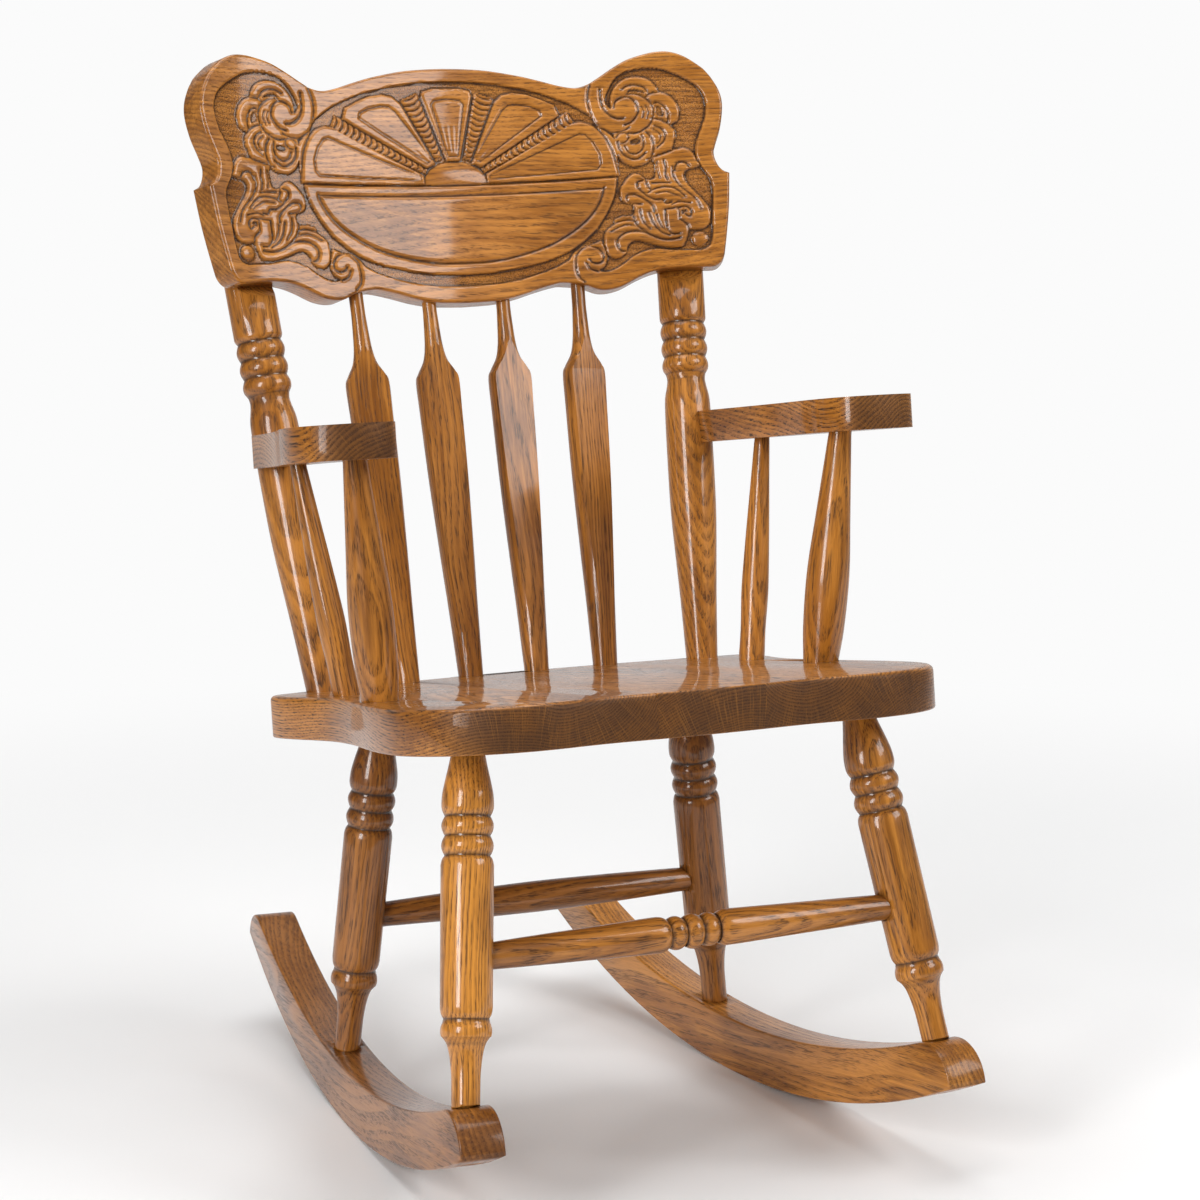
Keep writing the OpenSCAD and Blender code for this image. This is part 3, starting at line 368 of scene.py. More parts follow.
def oak(name, ring=2.6, gloss=0.16, wander=26.0, cloud=(22, 130), butt=0.88, pored=1.0,
        stipple=False):
    """Stained oak under lacquer: year rings round a pith, pores, rays, streaks and end grain.

    The wood attribute gives metres from the pith: across, out of the face and along the grain.
    ring is a year's width in mm, gloss the lacquer's roughness, wander the bend of the rings in mm,
    cloud the width and length of the paler patches, butt the strength of the end grain and pored
    that of the pores; stipple adds the crest rail's dotted ground."""
    look = settings()
    s = Shade(name)
    place = s.value("VectorMath", {"operation": "SCALE"}, {0: s.attribute("wood", 1), "Scale": 1000.0})
    split = s.node("SeparateXYZ", inputs={0: place})
    x, y, z = (Value(s.tree, o) for o in split.outputs)

    # Slow wander of the trunk, then a finer waviness of the fibres
    slow = s.node("SeparateXYZ", inputs={0: s.noise(x / 70, y / 70, z / 260, 1.5, output=1)})
    slow_x, slow_y = (Value(s.tree, o) - 0.5 for o in slow.outputs[:2])
    wave = s.noise(x / 8, y / 8, z / 55, 2.0) - 0.5
    xw = x + slow_x * wander + wave * 1.6
    yw = y + slow_y * wander + wave * 1.3
    radius = (xw * xw + yw * yw) ** 0.5
    count = radius / ring + (s.noise(radius / 11, 0.0, 0.0, 1.0) - 0.5) * 2.2
    phase = count.math("FRACT")
    early = s.step(phase, 0.0, 0.12) * (1.0 - s.step(phase, 0.24, 0.85))

    # Pores: short dark streaks, thick in the early wood
    pore_a = s.noise(xw / 0.55, yw / 0.55, z / 11, 1.0)
    pore_b = s.noise(xw / 0.95, yw / 0.95, z / 26, 2.0)
    pores = (s.step(pore_a, 0.52, 0.66) * (0.16 + 0.84 * early)
             + s.step(pore_b, 0.53, 0.66) * (0.14 + 0.80 * early))
    fibre = s.noise(xw / 0.5, yw / 0.5, z / 40, 3.0) - 0.5
    streak = s.noise(xw / 2.6, yw / 2.6, z / 75, 2.0) - 0.5

    # Rays: thin sheets that run out from the pith
    angle = yw.math("ARCTAN2", xw)
    ray = s.step(s.noise(angle * 75, radius / 30, z / 16, 1.0), 0.62, 0.72)

    normal = s.value("NewGeometry", output=1)
    along = s.value(
        "VectorMath", {"operation": "DOT_PRODUCT"}, {0: normal, 1: s.attribute("grain", 1)}, output=1)
    end = s.step(abs(along), 0.45, 0.95)

    # Pale patches, darker blotches, early wood, rays and pores, one over the other
    broad = s.noise(x / cloud[0] + 7.0, y / cloud[0], z / cloud[1], 2.0) + streak * 0.5
    blotch = s.noise(x / 55, y / 55 + 3.0, z / 90, 1.0)
    tone = s.mix(s.step(broad + fibre * 0.35, 0.30, 0.68), look.wood, look.light_wood)
    tone = s.mix(s.step(blotch - streak * 0.4, 0.48, 0.74) * 0.55, tone, look.dark_wood)
    tone = s.mix(early * 0.40 * pored, tone, look.dark_wood)
    tone = s.mix(ray * 0.25 * (1.0 - end), tone, look.light_wood)
    tone = s.mix(pores.math("MINIMUM", 1.0) * 0.88 * pored, tone, look.pores)

    # End grain: dark brown with fine ring lines, dots and pale rays
    dots = s.step(s.noise(xw / 0.55, yw / 0.55, 0.5, 1.0), 0.45, 0.66)
    cut = s.mix(s.step(broad, 0.3, 0.75) * 0.22, look.end_grain, look.wood)
    cut = s.mix(early * (0.30 + 0.50 * dots), cut, look.pores)
    fleck = s.step(s.noise(angle * 150, radius / 40, 2.0, 1.0), 0.56, 0.70)
    cut = s.mix(fleck * 0.19, cut, look.light_wood)
    tone = s.mix(end * butt, tone, cut)

    # Stain and painted shade in the hollows, rubbed crowns, and the piece's own tone shift, which is
    # partly painted light and shade
    stain_and_shade = s.attribute("stain_and_shade", 2)
    tone = s.mix(stain_and_shade.math("MINIMUM", 1.0) * 0.85, tone, look.pores)
    worn = s.attribute("worn", 2)
    tone = s.mix(worn.math("MINIMUM", 1.0) * 0.35, tone, look.light_wood)
    tone_and_shade = s.attribute("tone_and_shade", 2)
    tone = s.value("HueSaturation", inputs={
        "Hue": 0.5 + tone_and_shade * 0.010, "Saturation": 1.0, "Value": 1.0 + tone_and_shade, "Color": tone})

    lift = fibre * 0.03 - pores * 0.07
    rough = 0.38 + pores * 0.12 + stain_and_shade * 0.10 + end * 0.15
    coat = 0.62 - end * (0.75 * butt) - pores * 0.08
    if stipple:
        dimple = s.noise(x / 1.1, z / 1.1, 0.0, 1.0)
        ground = s.attribute("ground", 2)
        tone = s.mix(s.step(dimple, 0.46, 0.64) * ground * 0.46, tone, look.pores)
        lift = lift + (0.5 - dimple) * ground * 1.5
        coat = coat - ground * 0.15
    lift = lift + (s.noise(x / 14, y / 14, z / 45, 1.0) - 0.5) * 0.35
    bump = s.value("Bump", inputs={"Strength": 1.0, "Distance": 0.001, "Height": lift})
    surface = s.node("BsdfPrincipled", inputs={
        "Base Color": tone, "Roughness": rough, "Normal": bump,
        "Coat Weight": coat.math("MAXIMUM", 0.0), "Coat Roughness": gloss,
        "Specular IOR Level": 0.22, "IOR": 1.5})
    return s.finish(surface)


def steel(name):
    """Zinc plated steel with fine turning marks."""
    s = Shade(name)
    mark = s.speckle(2200.0, 2.0)
    tone = s.mix(mark * 0.4, settings().steel, WORN_ZINC)
    bump = s.value("Bump", inputs={"Strength": 0.15, "Distance": 0.0002, "Height": mark})
    surface = s.node("BsdfPrincipled", inputs={
        "Base Color": tone, "Roughness": 0.30 + mark * 0.15, "Normal": bump, "Metallic": 1.0})
    return s.finish(surface)


def once(name, maker, **choices):
    """The material of that name, made on first use."""
    return bpy.data.materials.get(name) or maker(name, **choices)


def coordinates(mesh):
    flat = np.empty(len(mesh.vertices) * 3)
    mesh.vertices.foreach_get("co", flat)
    return flat.reshape(-1, 3)


def store(mesh, name, values):
    """Keeps a number or a vector for every vertex."""
    kind = "FLOAT" if values.ndim == 1 else "FLOAT_VECTOR"
    layer = mesh.attributes.new(name, kind, "POINT")
    layer.data.foreach_set("value" if kind == "FLOAT" else "vector", values.astype(np.float32).ravel())


def placed(name, data):
    """A new object in the scene."""
    made = bpy.data.objects.new(name, data)
    bpy.context.scene.collection.objects.link(made)
    return made


def show(mesh, name, material, nodes):
    """A finished piece at the origin that stands for the solid nodes."""
    mesh.materials.clear()
    mesh.materials.append(material)
    piece = placed(name, mesh)
    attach(piece, "root")
    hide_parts(*nodes)


def long_axis(points):
    """The direction in which the points spread most."""
    spread = np.cov((points - points.mean(axis=0)).T)
    return np.linalg.eigh(spread)[1][:, 2]


def grain(mesh, seed, along, face, pith, lean=(0.0, 0.0), tone_and_shade=0.0):
    """Stores each vertex's place in its trunk: the grain runs along, face points out of the board."""
    points = coordinates(mesh)
    along = np.array(along, float) / np.linalg.norm(along)
    face = np.array(face, float) - np.dot(face, along) * along
    face /= np.linalg.norm(face)
    across = np.cross(along, face)
    middle = (points.min(axis=0) + points.max(axis=0)) / 2
    local = (points - middle) @ np.array([across, face, along]).T
    local[:, 0] += pith[0] + lean[0] * local[:, 2]
    local[:, 1] += pith[1] + lean[1] * local[:, 2]
    # Each piece takes a stretch of its own along the trunk
    local[:, 2] += 1.7 * seed
    store(mesh, "wood", local)
    store(mesh, "grain", np.tile(along, (len(points), 1)))
    # The tone shift is partly the piece's own stain and partly painted light and shade
    store(mesh, "tone_and_shade", np.full(len(points), tone_and_shade))


def solid_copy(node):
    """A copy of a node's mesh with its doubles and its coplanar faces merged."""
    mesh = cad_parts[node].data.copy()
    mesh.name = node + "_wood"
    bm = bmesh.new()
    bm.from_mesh(mesh)
    bmesh.ops.remove_doubles(bm, verts=bm.verts, dist=2e-6)
    bmesh.ops.dissolve_limit(bm, angle_limit=math.radians(0.2), verts=bm.verts, edges=bm.edges)
    bm.to_mesh(mesh)
    bm.free()
    return mesh


def smooth(mesh, degrees=32):
    mesh.shade_smooth()
    mesh.set_sharp_from_angle(angle=math.radians(degrees))


# Rims shorter than this, in metres, belong to holes
LONG_RIM = 0.045


def outer_edges(bm, up, glued=None):
    """The long rims of a board's faces, without the rims of holes and glued joints."""
    found = set()
    for edge in bm.edges:
        if len(edge.link_faces) != 2 or edge.calc_face_angle(0.0) < math.radians(50):
            continue
        flat = [abs(f.normal.dot(up)) > 0.98 for f in edge.link_faces]
        if flat[0] == flat[1]:
            continue
        if glued and glued(edge):
            continue
        found.add(edge)
    keep = []
    while found:
        run, chain = [found.pop()], []
        while run:
            edge = run.pop()
            chain.append(edge)
            for vert in edge.verts:
                near = [e for e in vert.link_edges if e in found]
                found.difference_update(near)
                run.extend(near)
        points = np.array([v.co[:] for e in chain for v in e.verts])
        if np.ptp(points, axis=0).max() > LONG_RIM:
            keep.append(chain)
    return [e for chain in keep for e in chain]


def rounded(mesh, up, width, segments=3, glued=None, side=0):
    """Rounds a board's outer rims; side 1 takes only the rim on the up side, -1 only the other."""
    bm = bmesh.new()
    bm.from_mesh(mesh)
    middle = sum((v.co for v in bm.verts), Vector()) / len(bm.verts)
    rims = outer_edges(bm, up, glued)
    if side:
        rims = [e for e in rims if ((e.verts[0].co + e.verts[1].co) / 2 - middle).dot(up) * side > 0]
    if not rims:
        raise RuntimeError("no rim was found on " + mesh.name)
    bmesh.ops.bevel(
        bm, geom=rims, offset=width, offset_type="OFFSET", affect="EDGES", segments=segments,
        profile=0.5, material=-1, clamp_overlap=True)
    bmesh.ops.recalc_face_normals(bm, faces=bm.faces)
    bm.to_mesh(mesh)
    bm.free()


def hollow_stain_and_shade(mesh, along):
    """Darkens a turned piece's hollows with gathered stain and painted shade; pales its beads' crowns.
    """
    points = coordinates(mesh)
    middle = (points.min(axis=0) + points.max(axis=0)) / 2
    height = (points - middle) @ along
    radius = np.linalg.norm(points - middle - np.outer(height, along), axis=1)
    cell, reach, width = 0.0006, 14, 6.0
    spots = np.floor((height - height.min()) / cell).astype(int)
    line = np.zeros(spots.max() + 1)
    np.maximum.at(line, spots, radius)
    known = np.flatnonzero(line)
    line = np.interp(np.arange(len(line)), known, line[known])
    line = np.maximum(line, np.maximum(np.append(line[1:], 0), np.append(0, line[:-1])))
    weight = np.exp(-(np.arange(-reach, reach + 1) / width) ** 2)
    soft = np.convolve(np.pad(line, reach, mode="edge"), weight / weight.sum(), mode="valid")
    low = (soft - line)[spots] * 1000
    store(mesh, "stain_and_shade", np.clip((low - 0.10) / 0.6, 0, 1))
    store(mesh, "worn", np.clip((-low - 0.10) / 0.8, 0, 1))


def flats(mesh):
    """Gives the four largest flat faces of a mesh crisp edges."""
    bm = bmesh.new()
    bm.from_mesh(mesh)
    for face in sorted(bm.faces, key=lambda f: -f.calc_area())[:4]:
        for edge in face.edges:
            edge.smooth = False
    bm.to_mesh(mesh)
    bm.free()


def turned_piece(node, seed):
    """A turned piece cut from its own stock, grain along its length."""
    mesh = solid_copy(node)
    along = long_axis(coordinates(mesh))
    if along.sum() < 0:
        along = -along
    bladed = node.startswith("back_spindle")
    if not bladed:
        hollow_stain_and_shade(mesh, along)
    common = (seed * 137, 24 + 11 * (seed * 7 % 5), 0.02 * math.cos(seed * 1.3), 0.03)
    turn, away, slope, tone_and_shade = STOCK.get(node, common)
    turn = math.radians(turn)
    grain(mesh, seed, along, (math.cos(turn), math.sin(turn), 0.3), (0.0003 * away, 0.001 * away),
          (0.012 * math.sin(seed), slope), tone_and_shade)
    smooth(mesh)
    if bladed:
        flats(mesh)
    wood = once("oak_turned", oak, ring=2.5, gloss=0.10, pored=0.78)
    show(mesh, node + "_turned", wood, [node])


class OBJECT_OT_chair_back(bpy.types.Operator):
    """Draws the two back posts and the four arrow spindles"""

    bl_idname = "object.chair_back"
    bl_label = "Posts and spindles"

    def execute(self, context):
        nodes = ["back_post_left", "back_post_right"] + [f"back_spindle_{k}" for k in range(1, 5)]
        for seed, node in enumerate(nodes, 3):
            turned_piece(node, seed)
        return {"FINISHED"}


class OBJECT_OT_chair_legs(bpy.types.Operator):
    """Draws the legs and the stretchers"""

    bl_idname = "object.chair_legs"
    bl_label = "Legs and stretchers"

    def execute(self, context):
        nodes = ["leg_front_left", "leg_front_right", "leg_rear_left", "leg_rear_right",
                 "stretcher_front", "stretcher_rear"]
        for seed, node in enumerate(nodes, 12):
            turned_piece(node, seed)
        return {"FINISHED"}


class OBJECT_OT_chair_arms(bpy.types.Operator):
    """Draws the arms with their posts and spindles"""

    bl_idname = "object.chair_arms"
    bl_label = "Arms"

    def execute(self, context):
        for seed, side in enumerate(("left", "right"), 21):
            mesh = solid_copy("arm_" + side)
            rounded(mesh, SEAT_UP, settings().edge)
            along = (0.12, -math.cos(SEAT_TILT), math.sin(SEAT_TILT))
            # Each arm's tone shift: partly its own stain, partly painted light and shade
            tone_and_shade = -0.06 if side == "left" else 0.14
            grain(mesh, seed, along, SEAT_UP, (0.012, 0.05), (0.02, 0.03), tone_and_shade)
            smooth(mesh, 40)
            wood = once("oak_board", oak, ring=2.8, gloss=0.10)
            show(mesh, "arm_board_" + side, wood, ["arm_" + side])
            turned_piece("arm_post_" + side, seed + 4)
            turned_piece("arm_spindle_" + side, seed + 8)
        return {"FINISHED"}


class OBJECT_OT_chair_seat(bpy.types.Operator):
    """Draws the seat's five boards, glued side by side with their grain from front to back"""

    bl_idname = "object.chair_seat"
    bl_label = "Seat"

    def execute(self, context):
        forward = (0, -math.cos(SEAT_TILT), math.sin(SEAT_TILT))
        piths = [(0.012, 0.075), (-0.02, -0.06), (0.025, 0.09), (-0.01, -0.05), (0.018, 0.07)]

        def glued(edge):
            return all(abs((v.co.x * 1000 / SEAT_BOARD) % 1 - 0.5) < 2e-3 for v in edge.verts)

        for k in range(1, 6):
            node = f"seat_board_{k}"
            mesh = solid_copy(node)
            rounded(mesh, SEAT_UP, settings().seat_edge, 4, glued, 1)
            rounded(mesh, SEAT_UP, settings().edge, 2, glued, -1)
            lean = (0.02 * math.sin(k * 2.0), 0.05)
            grain(mesh, 30 + k, forward, SEAT_UP, piths[k - 1], lean, 0.04)
            smooth(mesh, 40)
            wood = once("oak_seat", oak, ring=1.8, gloss=0.05, wander=12.0, butt=1.0)
            show(mesh, f"seat_plank_{k}", wood, [node])
        return {"FINISHED"}


class OBJECT_OT_chair_rockers(bpy.types.Operator):
    """Draws the two bowed rockers"""

    bl_idname = "object.chair_rockers"
    bl_label = "Rockers"

    def execute(self, context):
        for seed, side in enumerate(("left", "right"), 41):
            mesh = solid_copy("rocker_" + side)
            along = long_axis(coordinates(mesh))
            across = np.cross(along, (0, 0, 1))
            across = Vector(across / np.linalg.norm(across))
            rounded(mesh, across, settings().edge)
            # The left rocker is drawn darker and the right paler: partly their own stain, partly
            # painted shade on the left and painted light on the right
            tone_and_shade = -0.26 if side == "left" else 0.24
            grain(mesh, seed, along, across, (0.02, 0.06), (0.01, 0.02), tone_and_shade)
            smooth(mesh, 40)
            wood = once("oak_rocker", oak, ring=3.4, gloss=0.16, butt=0.35, pored=0.7)
            show(mesh, "rocker_board_" + side, wood, ["rocker_" + side])
        return {"FINISHED"}


class OBJECT_OT_chair_fixings(bpy.types.Operator):
    """Draws the screws and the wooden plugs over them"""

    bl_idname = "object.chair_fixings"
    bl_label = "Screws and plugs"

    def execute(self, context):
        for seed, group in enumerate(("crest", "arm", "rocker"), 51):
            mesh = solid_copy(group + "_plugs")
            way = {"crest": (0, 0.96, 0.28), "arm": (0, 1, 0), "rocker": (0, 0, 1)}[group]
            grain(mesh, seed, way, (1, 0, 0), (0.004, 0.012))
            smooth(mesh)
            wood = once("oak_plug", oak, ring=1.8)
            show(mesh, group + "_plug_wood", wood, [group + "_plugs"])
            mesh = solid_copy(group + "_screws")
            smooth(mesh)
            metal = once("screw_steel", steel)
            show(mesh, group + "_screw_metal", metal, [group + "_screws"])
        return {"FINISHED"}


def curved(points, steps=4):
    """Points along a smooth curve through the given points."""
    p = np.array(points, float)
    if len(p) < 3:
        return p
    p = np.vstack([2 * p[0] - p[1], p, 2 * p[-1] - p[-2]])
    t = np.arange(steps)[:, None] / steps
    out = []
    for a, b, c, d in zip(p, p[1:], p[2:], p[3:]):
        out.append(0.5 * (2 * b + (c - a) * t + (2 * a - 5 * b + 4 * c - d) * t * t
                          + (3 * b - a - 3 * c + d) * t ** 3))
    return np.vstack([*out, p[-2:-1]])


def distance(spots, line):
    """Distance from each spot to a line of points, and the nearest point's share of its length."""
    lengths = np.linalg.norm(np.diff(line, axis=0), axis=1)
    starts = np.concatenate([[0], np.cumsum(lengths)])
    best = np.full(len(spots), np.inf)
    share = np.zeros(len(spots))
    for a, b, length, start in zip(line, line[1:], lengths, starts):
        if length == 0:
            continue
        t = np.clip(((spots - a) @ (b - a)) / length ** 2, 0, 1)
        far = np.linalg.norm(spots - a - t[:, None] * (b - a), axis=1)
        near = far < best
        best[near] = far[near]
        share[near] = (start + t[near] * length) / starts[-1]
    return best, share


def depth_inside(spots, outline):
    """Distance to a closed outline, positive inside."""
    ring = np.array(outline + outline[:1], float)
    far, _ = distance(spots, ring)
    inside = np.zeros(len(spots), bool)
    for (ax, ay), (bx, by) in zip(ring, ring[1:]):
        if ay == by:
            continue
        crosses = (ay > spots[:, 1]) != (by > spots[:, 1])
        inside ^= crosses & (spots[:, 0] < (bx - ax) * (spots[:, 1] - ay) / (by - ay) + ax)
    return np.where(inside, far, -far)


def ease(value):
    """Smooth step of a value from 0 to 1."""
    v = np.clip(value, 0, 1)
    return v * v * (3 - 2 * v)


def near_line(spots, line, reach):
    """Which spots may lie within reach of the line."""
    low, high = line.min(axis=0) - reach, line.max(axis=0) + reach
    return np.flatnonzero(((spots >= low) & (spots <= high)).all(axis=1))


def pressed(spots, deep):
    """The ornament's height over the plain face in mm, and the share of stippled ground."""
    ground = np.zeros(len(spots))
    for outline in (FAN_GROUND, BAND_GROUND, rounded_off(LOBE_GROUND)):
        ground = np.maximum(ground, ease(depth_inside(spots, outline) / 1.1 + 0.5))
    height = -deep * ground
    for outline in (SCROLLS, LEAVES):
        within = depth_inside(spots, rounded_off(outline))
        crown = 1 - (1 - np.clip(within / 1.8, 0, 1)) ** 2
        height = np.maximum(height, -deep + deep * crown ** 0.5)
        ground *= 1 - ease(within / 1.0 + 0.4)
    for outline in POCKETS:
        within = ease(depth_inside(spots, rounded_off(outline)) / 1.0 + 0.4)
        height = np.minimum(height, -0.7 * deep * within)
        ground = np.maximum(ground, within)
    for outer, inner in PETALS:
        lift = ease(depth_inside(spots, outer) / 1.5 + 0.35)
        height = np.maximum(height, -deep * (1 - lift))
        within = depth_inside(spots, inner)
        height -= 0.45 * ease(within / 0.9 + 0.5) + 0.75 * np.exp(-(within / 0.8) ** 2)
        ground *= 1 - lift

    # The half sun, with fine lines fanning out of it
    x, u = spots[:, 0], spots[:, 1]
    dome = 1 - (x / SUN_WIDE) ** 2 - ((u - FOOT) / SUN_HIGH) ** 2
    dome = np.where(u > FOOT + 0.5, np.clip(dome, 0, 1), 0)
    far = np.hypot(x, u - FOOT)
    way = np.degrees(np.arctan2(u - FOOT, x))
    fan = (0.5 + 0.5 * np.cos(np.radians(way * 60))) ** 2
    fan = fan * ease((far - 24) / 3) * (1 - ease((far - 30) / 16))
    height = np.where((u > FOOT + 1.5) & (dome <= 0), height - 0.35 * fan, height)
    height = np.where(dome > 0, np.maximum(height, -deep + deep * dome ** 0.5), height)
    ground *= 1 - (dome > 0)

    for start, end, number, narrow, wide in HUSKS:
        start, way = np.array(start, float), np.array(end, float) - np.array(start, float)
        length = np.linalg.norm(way)
        t = (spots - start) @ way / length ** 2
        side = (spots - start) @ np.array([-way[1], way[0]]) / length
        half = narrow + (wide - narrow) * np.clip(t, 0, 1)
        bow = t * number - 0.55 * (side / half) ** 2
        husk = np.abs(np.sin(math.pi * bow)) ** 0.8 * ease((1 - np.abs(side) / half) * 3)
        husk = np.where((t > -0.02) & (t < 1.05), husk, 0)
        height = np.maximum(height, -deep + deep * 0.9 * husk)
        ground *= 1 - ease(husk * 3)

    for centre, radius in KNOBS:
        lift = np.clip(1 - (np.hypot(x - centre[0], u - centre[1]) / radius) ** 2, 0, 1)
        height = np.maximum(height, -deep + deep * lift ** 0.5)
        ground *= 1 - ease(lift * 3)

    for half, deepness, points in GROOVES:
        line = curved(points)
        k = near_line(spots, line, 4.0)
        far, _ = distance(spots[k], line)
        cut = -deepness * np.exp(-(far / half) ** 2 * 1.2) - 0.3 * np.exp(-(far / 2.2) ** 2)
        height[k] = np.minimum(height[k], cut)
    return height, ground


def dense(points):
    return curved(points, 8)


def rounded_off(outline):
    """A closed outline with a smooth curve through its points."""
    return curved(outline + outline[:1], 3)[:-1].tolist()


def by_length(line, shares):
    """Points at shares of the line's length."""
    steps = np.concatenate([[0], np.cumsum(np.linalg.norm(np.diff(line, axis=0), axis=1))])
    at = shares * steps[-1]
    return np.stack([np.interp(at, steps, line[:, i]) for i in (0, 1)], axis=1)


def by_across(line, across):
    """Points of a line that runs across, at the given places."""
    order = np.argsort(line[:, 0])
    return np.stack([across, np.interp(np.abs(across), line[order, 0], line[order, 1])], axis=1)


def patch(across, up, low, high, side):
    """Fills a four-sided outline with points: low and high run across, side goes up the right."""
    left = side * (-1, 1)
    corner = [low[0], low[-1], high[0], high[-1]]
    s, t = across[None, :, None], up[:, None, None]
    edges = (1 - t) * low[None] + t * high[None] + (1 - s) * left[:, None] + s * side[:, None]
    corners = ((1 - s) * (1 - t) * corner[0] + s * (1 - t) * corner[1]
               + (1 - s) * t * corner[2] + s * t * corner[3])
    return edges - corners


def bend(flat):
    """Moves points, in mm across, up and out of the face, onto the bent, leaning rail in metres."""
    turn = np.arcsin(np.clip(flat[:, 0] / CREST_BEND, -1, 1))
    reach = CREST_BEND - flat[:, 2]
    out = CREST_BEND - reach * np.cos(turn)
    tilt = math.radians(CREST_TILT)
    place = np.stack([
        reach * np.sin(turn),
        flat[:, 1] * math.sin(tilt) - out * math.cos(tilt),
        flat[:, 1] * math.cos(tilt) + out * math.sin(tilt)], axis=1)
    return (place + CREST_ORIGIN) / 1000


class OBJECT_OT_chair_crest(bpy.types.Operator):
    """Draws the bent crest rail with its pressed sunburst and scrolls"""

    bl_idname = "object.chair_crest"
    bl_label = "Crest rail"

    columns = 448
    lower_rows = 94
    upper_rows = 104
    rim_radius = 1.8

    def execute(self, context):
        rows = self.lower_rows + self.upper_rows
        bm = bmesh.new()
        bmesh.ops.create_grid(bm, x_segments=self.columns, y_segments=rows, size=1.0)
        place = np.array([v.co[:] for v in bm.verts])
        i = np.rint((place[:, 0] + 1) / 2 * self.columns).astype(int)
        j = np.rint((place[:, 1] + 1) / 2 * rows).astype(int)
        if len(set(zip(i, j))) != (self.columns + 1) * (rows + 1):
            raise RuntimeError("the crest rail's grid has another number of points")

        across = np.linspace(0, 1, self.columns + 1)
        widest, level = LOWER_SIDE[-1]
        middle = np.stack([widest * (2 * across - 1), np.full(len(across), float(level))], axis=1)
        low = by_across(dense(LOWER_EDGE), LOWER_EDGE[-1][0] * (2 * across - 1))
        high = by_across(dense(UPPER_EDGE), UPPER_EDGE[-1][0] * (2 * across - 1))
        up = np.linspace(0, 1, self.lower_rows + 1)
        lower = patch(across, up, low, middle, by_length(dense(LOWER_SIDE), up))
        up = np.linspace(0, 1, self.upper_rows + 1)
        upper = patch(across, up, middle, high, by_length(dense(EAR_SIDE), up))
        grid = np.concatenate([lower[:-1], upper])

        rim = np.concatenate([grid[0], grid[1:-1, -1], grid[-1, ::-1], grid[-2:0:-1, 0]])
        spots = grid.reshape(-1, 2)
        half = spots * np.where(spots[:, :1] < 0, (-1, 1), (1, 1))
        deep = settings().relief * 1000
        height, ground = pressed(half, deep)
        height, ground = height.reshape(grid.shape[:2]), ground.reshape(grid.shape[:2])

        # Stain gathers in the hollows, darkened further by painted shade, and the crowns are rubbed
        # paler
        soft = self.blurred(height, 2.2)
        stain_and_shade = np.clip((soft - height - 0.04) / 0.38, 0, 1)
        worn = np.clip((height - soft - 0.04) / 0.35, 0, 1)
        # The rim is rounded over
        inward = self.rim_distance(spots, rim).reshape(grid.shape[:2])
        edge = np.clip(1 - inward / self.rim_radius, 0, 1)
        height = height - self.rim_radius * (1 - np.sqrt(np.clip(1 - edge ** 2, 0, 1)))
        flat = np.concatenate([grid, height[..., None]], axis=2)

        looks = {"stain_and_shade": stain_and_shade, "worn": worn, "ground": ground}
        layers = {key: bm.verts.layers.float.new(key) for key in looks}
        for vert, a, b in zip(bm.verts, i, j):
            vert.co = flat[b, a]
            for key, layer in layers.items():
                vert[layer] = looks[key][b, a]
        self.close(bm)
        mesh = bpy.data.meshes.new("crest_rail_pressed")
        bm.to_mesh(mesh)
        bm.free()
        flat = coordinates(mesh)
        mesh.vertices.foreach_set("co", bend(flat).astype(np.float32).ravel())
        mesh.update()
        trunk = np.stack([
            (flat[:, 1] + 30 + 0.05 * flat[:, 0]) / 1000,
            (flat[:, 2] + 66 - 0.10 * flat[:, 0]) / 1000,
            flat[:, 0] / 1000 + 1.13], axis=1)
        store(mesh, "wood", trunk)
        store(mesh, "tone_and_shade", np.full(len(flat), 0.10))
        turn = np.arcsin(np.clip(flat[:, 0] / CREST_BEND, -1, 1))
        tilt = math.radians(CREST_TILT)
        store(mesh, "grain", np.stack([
            np.cos(turn), -np.sin(turn) * math.cos(tilt), np.sin(turn) * math.sin(tilt)], axis=1))
        wood = once(
            "oak_crest", oak, ring=3.4, gloss=0.08, cloud=(12, 50), butt=0.25, pored=0.62, stipple=True)
        smooth(mesh, 50)
        show(mesh, "crest_rail_pressed", wood, ["crest_rail"])
        return {"FINISHED"}

    def blurred(self, field, width, reach=7):
        """The field evened out over reach cells each way."""
        weight = np.exp(-(np.arange(-reach, reach + 1) / width) ** 2)
        weight /= weight.sum()
        for axis in (0, 1):
            pads = [(reach, reach) if a == axis else (0, 0) for a in (0, 1)]
            padded = np.pad(field, pads, mode="edge")
            field = np.apply_along_axis(np.convolve, axis, padded, weight, mode="valid")
        return field

    def rim_distance(self, spots, rim):
        """Distance to the outline, measured only where it is near."""
        found = np.full(len(spots), 9.0)
        loop = np.vstack([rim, rim[:1]])
        for start in range(0, len(rim), 40):
            line = loop[start:start + 41]
            k = near_line(spots, line, 2.5)
            if len(k):
                found[k] = np.minimum(found[k], distance(spots[k], line)[0])
        return found

